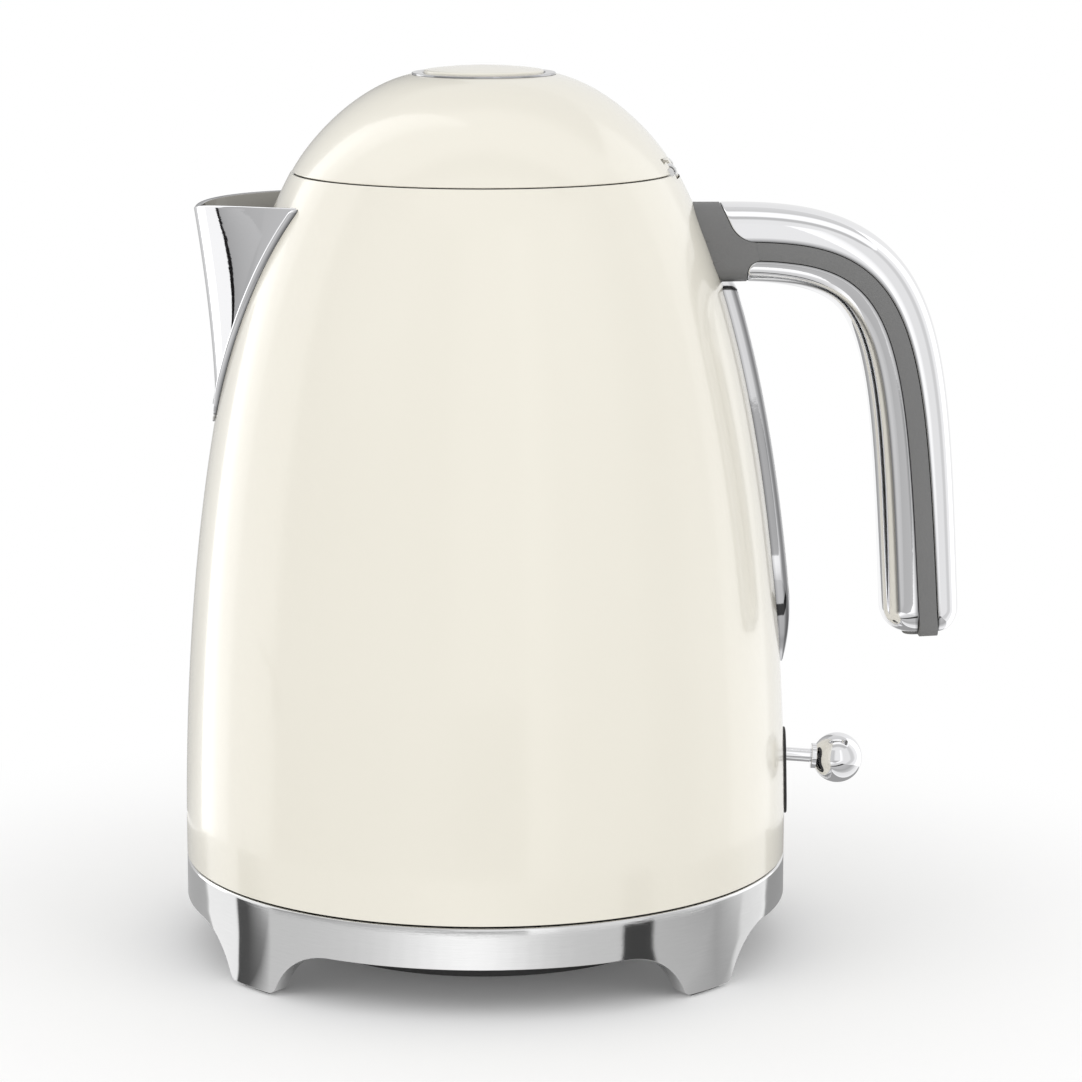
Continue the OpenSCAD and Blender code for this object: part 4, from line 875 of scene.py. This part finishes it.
lever = {"x": 66.0, "z": 54.1, "droop": 4.2, "ballX": 100.8, "ball": 7.15, "stem": 1.9,
         "armEnd": 13.0, "sunk": 7.95, "bore": 4, "neck": 0.5}


def alongLever(outline):
    # an outline, as distance along the rod and radius, turned about the rod
    s, r = np.asarray(outline, float).T
    a = np.radians(fullTurn(96))[:, None]
    tilt = math.radians(lever["droop"])
    y, up = r * np.cos(a), r * np.sin(a)
    return np.stack([lever["x"] + s * math.cos(tilt) + up * math.sin(tilt), y,
                     lever["z"] - s * math.sin(tilt) + up * math.cos(tilt)], -1)


reach = (lever["ballX"] - lever["x"]) / math.cos(math.radians(lever["droop"]))
collar = reach - lever["ball"]
boreEnd, boreR, neck = collar + lever["bore"], lever["stem"] + slack, collar - lever["neck"]
collarR = lever["ball"] / 2
a = np.radians(np.linspace(180 - math.degrees(math.asin(collarR / lever["ball"])), 0, 60))
ballOutline = np.concatenate([
    [(boreEnd, 0), (boreEnd, boreR), (neck, boreR)],
    softened([(neck, lever["stem"] + 0.3), (neck, collarR), (collar + 0.4, collarR)],
             [0, 0.3, 0], closed=False),
    np.stack([reach + lever["ball"] * np.cos(a), lever["ball"] * np.sin(a)], -1),
])
sweepPiece("leverBall", alongLever(ballOutline), "switch_lever", "polished_trim", polished,
           stands=["lever_ball"], ring=True)
stemLow, stemHigh = lever["armEnd"] - lever["sunk"], collar + lever["bore"] - 0.1
stemOutline = softened([(stemLow, 0), (stemLow, lever["stem"]), (stemHigh, lever["stem"]), (stemHigh, 0)],
                       [0, 0.3, 0.3, 0], 4)
sweepPiece("leverStem", alongLever(stemOutline), "switch_lever", "polished_trim", polished,
           stands=["lever_stem"], ring=True)

plateShape = {"half": 6.5, "low": 35.4, "high": 60.5, "thick": 0.8}


def slotLine(half, low, high):
    # an upright slot's outline with round ends
    a = np.linspace(0, 2 * math.pi, 200, endpoint=False)
    middle = np.where(np.sin(a) >= 0, high - half, low + half)
    return np.stack([half * np.cos(a), middle + half * np.sin(a)], -1)


# from the plate's outer edge to its slot: distance from the edge, and height over the body
face = plateShape["thick"] - slack
rims = [(0, 0.0), (0, face - 0.2), (0.25, face), (3.0, face), (3.4, face), (3.75, face - 0.25), (3.75, 0.0)]
lines = []
for inset, h in rims:
    share = inset / rims[-1][0]
    half = plateShape["half"] + (leverSlot["half"] + slack - plateShape["half"]) * share
    low = plateShape["low"] + (leverSlot["low"] - plateShape["low"]) * share
    high = plateShape["high"] + (leverSlot["high"] - plateShape["high"]) * share
    line = slotLine(half, low, high)
    lines.append(onBody(1, line[:, 0], line[:, 1], slack + h + 0 * line[:, 1]))
sweepPiece("leverPlate", np.stack(lines, 1), "kettle", "black_plate", blackPlate,
           stands=["lever_plate"], ring=True)
print("lever made")

stageShape = {
    "floor": 6.0, "camera": (0.0, -1.09483, 0.32034), "pitch": 0.1855, "yaw": 0.0145,
    "focal": 3927.75, "frame": 1082, "sensor": 36, "ambient": 0.86,
}


def emptyMaterial(name):
    material = bpy.data.materials.new(name)
    material.use_nodes = True
    material.node_tree.nodes.clear()
    return material, Wire(material.node_tree)


def rayMasks(maker):
    # 1 where the camera looks, where a mirror looks, and where a look goes through glass
    return [maker.node("ShaderNodeLightPath", {}, out=f"Is {kind} Ray")
            for kind in ("Camera", "Glossy", "Transmission")]


def stageMaterial(name, seen, lit, near):
    # a plain tone in mirrors and through glass, and matte otherwise; near is the share of the plain tone
    # close to the object, and the distances between which it grows to the whole
    material, maker = emptyMaterial(name)
    camera, glossy, through = rayMasks(maker)
    mask = glossy.sum("MAXIMUM", glossy, through)
    place = maker.node("ShaderNodeTexCoord", {}, out="Object")
    away = place.node("ShaderNodeVectorMath", {0: place}, {"operation": "LENGTH"}, out=1)
    mask = mask.sum("MAXIMUM", mask, camera) * (near[0] + (1 - near[0]) * away.step(near[1], near[2]))
    matte = mask.node("ShaderNodeBsdfDiffuse", {"Color": shade(lit)})
    glow = mask.node("ShaderNodeEmission", {"Color": shade(seen), "Strength": 1.0})
    surface = mask.node("ShaderNodeMixShader", {0: mask, 1: matte, 2: glow})
    maker.node("ShaderNodeOutputMaterial", {"Surface": surface})
    return material


def plane(name, corners, material):
    # a flat card of the stage, which the part doesn't own
    mesh = bpy.data.meshes.new(name)
    mesh.from_pydata([tuple(c) for c in corners], [], [(0, 1, 2, 3)])
    mesh.update()
    mesh.materials.append(material)
    card = addObject(name, mesh)
    return card


f = stageShape["floor"]
floorTone = stageMaterial("floorTone", 1.0, 0.95, (0.1, 0.1, 0.26))
plane("floor", [(-f, -f, 0), (f, -f, 0), (f, f, 0), (-f, f, 0)], floorTone)

world = bpy.data.worlds.new("studio")
bpy.context.scene.world = world
world.use_nodes = True
tree = world.node_tree
background = tree.nodes["Background"]
camera, glossy, through = rayMasks(Wire(tree))
way = Wire(tree).node("ShaderNodeTexCoord", {}, out="Generated")
split = [way.node("ShaderNodeSeparateXYZ", {"Vector": way}, out=k) for k in range(3)]
# mirrors see a bright band overhead, a thin dull one before it, and a duller sky behind
along = split[1] * 0.5 + 0.5
sky = along.node("ShaderNodeValToRGB", {"Fac": along}, {"stops": [
    (0.0, 0.9), (0.24, 0.9), (0.29, 0.58), (0.36, 0.58),
    (0.41, 1.15), (0.6, 1.15), (0.66, 0.68), (1.0, 0.82),
]})
strength = stageShape["ambient"] + camera.sum("MAXIMUM", camera, through) * (1 - stageShape["ambient"])
strength = strength + glossy * (sky - strength)
tree.links.new(strength.socket, background.inputs["Strength"])
background.inputs["Color"].default_value = (1, 1, 1, 1)


def softbox(name, place, target, size, power):
    # a lamp with a wide face turned to the target, which mirrors don't see
    data = bpy.data.lights.new(name, "AREA")
    data.shape, data.size, data.size_y, data.energy = "RECTANGLE", size[0], size[1], power
    lamp = addObject(name, data)
    lamp.location = place
    lamp.rotation_euler = (Vector(target) - Vector(place)).to_track_quat("-Z", "Y").to_euler()
    lamp.visible_glossy = False
    return lamp


def around(side, distance, z):
    # a place on a circle round the object; side is 0 towards the camera and grows to the right
    return (distance * math.sin(math.radians(side)), -distance * math.cos(math.radians(side)), z)


lampShape = {"distance": 1.8, "height": 1.1, "target": (0, 0, 0.12), "size": (1.4, 1.2)}
for name, side, power in (("frontLeft", -58, 7), ("frontRight", 55, 6)):
    place = around(side, lampShape["distance"], lampShape["height"])
    softbox(name, place, lampShape["target"], lampShape["size"], power)


def mirrorOnly(piece):
    # seen only in polished pieces
    piece.visible_camera = piece.visible_diffuse = piece.visible_shadow = piece.visible_transmission = False
    return piece


def mirrorLines(sides, reach):
    # lines on the table that the upright wall of the body mirrors: from its foot, turned out by
    # twice its angle
    turn = np.radians(np.asarray(sides, float)) / 2
    start = np.stack([np.sin(turn), -np.cos(turn)], -1) * (baseR + 0.5) * mm
    way = np.stack([np.sin(2 * turn), -np.cos(2 * turn)], -1)
    corners = start[:, None] + way[:, None] * np.asarray(reach)[None, :, None]
    return np.concatenate([corners, np.full(corners.shape[:2] + (1,), 0.0003)], -1)


def toneCard(name, points, quads, tones):
    # a card whose tone runs smoothly from corner to corner, and which only mirrors see
    mesh = bpy.data.meshes.new(name)
    mesh.from_pydata(points.tolist(), [], quads.tolist())
    mesh.attributes.new("tone", "FLOAT", "POINT").data.foreach_set("value", np.asarray(tones, np.float32))
    material, maker = emptyMaterial(name)
    colour = maker.node("ShaderNodeAttribute", {}, {"attribute_name": "tone"}, out="Color")
    glow = maker.node("ShaderNodeEmission", {"Color": colour})
    maker.node("ShaderNodeOutputMaterial", {"Surface": glow})
    mesh.materials.append(material)
    piece = addObject(name, mesh)
    return mirrorOnly(piece)


# what mirrors see round the object, at the angle from the camera's direction: along the table,
# then up a far wall
wallTones = [
    (-180, 0.35), (-165, 0.5), (-140, 0.8), (-139, 2.2), (-127, 2.2), (-126, 1.7), (-116, 1.5),
    (-114, 1.05), (-91, 1.05), (-86, 0.42), (-60, 0.52), (-28, 0.66), (-18, 0.62), (-8, 0.5),
    (14.8, 0.55), (15.8, 1.2), (24, 1.08), (30, 0.87), (60, 0.87), (68, 0.7), (80, 0.7),
    (90, 0.95), (105, 1.0), (107, 1.35), (139, 1.35), (141, 0.95), (180, 0.85),
]
points = mirrorLines([side for side, _ in wallTones], [0.15, 0.95, 1.0, 1.3])
points = np.concatenate([points, points[:, 3:] + [0, 0, 1.4]], 1)
# straight in front, the table is duller near the object than far off
tones = np.array([[tone, tone] + [0.92 if -10 < side < 15.5 else tone] * 3 for side, tone in wallTones])
toneCard("mirrorWall", points.reshape(-1, 3), gridQuads(len(wallTones), 5), tones.ravel())

# the brightest part of that wall goes on upwards and bends in overhead
high = mirrorLines([-138, -127, -114], [1.3, 1.25, 1.1, 0.85, 0.5, 0.2])
high[..., 2] = np.array([1.4, 1.65, 1.9, 2.1, 2.25, 2.3])
toneCard("mirrorArch", high.reshape(-1, 3), gridQuads(3, 6), np.repeat([2.2, 2.0, 1.6], 6))

# a dark strip on the far table that the spout's flank mirrors, white on one side and grey on the other
strip = np.array([(-600, -100), (-760, -95), (-830, -84), (-893, -50), (-940, 5), (-1010, 85)]) * mm
across = [(300, 1.05), (27, 1.05), (26, 0.01), (-26, 0.01), (-27, 0.41), (-300, 0.55)]
points = [[(x, y + step * mm, 0.0008) for step, _ in across] for x, y in strip]
toneCard("spoutStrip", np.array(points).reshape(-1, 3), gridQuads(len(strip), len(across)),
         [tone for _, tone in across] * len(strip))

# what the ring's lower edge mirrors from the table, at the sine of the angle from the camera's
# direction: plain cards at the sides, as start, end and the tones there, and a pool of light between
sideCards = [
    (-1, -0.925, 0.45, 0.5), (-0.915, -0.815, 1.05, 1.05), (-0.808, -0.775, 0.09, 0.1),
    (0.443, 0.535, 0.065, 0.065), (0.543, 0.75, 0.58, 0.43), (0.84, 0.92, 0.86, 1.08), (0.928, 1, 0.36, 0.36),
]
pool = {"start": -0.7, "end": 0.436, "stops": 24, "tone": 0.68, "gain": 0.52, "middle": -0.05,
        "leftReach": 0.28, "rightReach": 0.21}
tableTones = [(side, tone) for start, end, *tones in sideCards for side, tone in zip((start, end), tones)]
for side in np.linspace(pool["start"], pool["end"], pool["stops"]):
    away = side - pool["middle"]
    swell = math.exp(-(away / pool["leftReach" if away < 0 else "rightReach"]) ** 2)
    tableTones.append((side, pool["tone"] + pool["gain"] * swell))
tableTones.sort()
flat = mirrorLines([2 * math.degrees(math.asin(side)) for side, _ in tableTones], [0, 0.15])
toneCard("tableTones", flat.reshape(-1, 3), gridQuads(len(tableTones), 2),
         np.repeat([tone for _, tone in tableTones], 2))

data = bpy.data.cameras.new("view")
view = addObject("view", data)
view.location = stageShape["camera"]
view.rotation_euler = (math.pi / 2 - stageShape["pitch"], 0, -stageShape["yaw"])
data.sensor_width = stageShape["sensor"]
data.lens = stageShape["sensor"] * stageShape["focal"] / stageShape["frame"]
bpy.context.scene.camera = view
bpy.context.scene.view_settings.view_transform = "Standard"
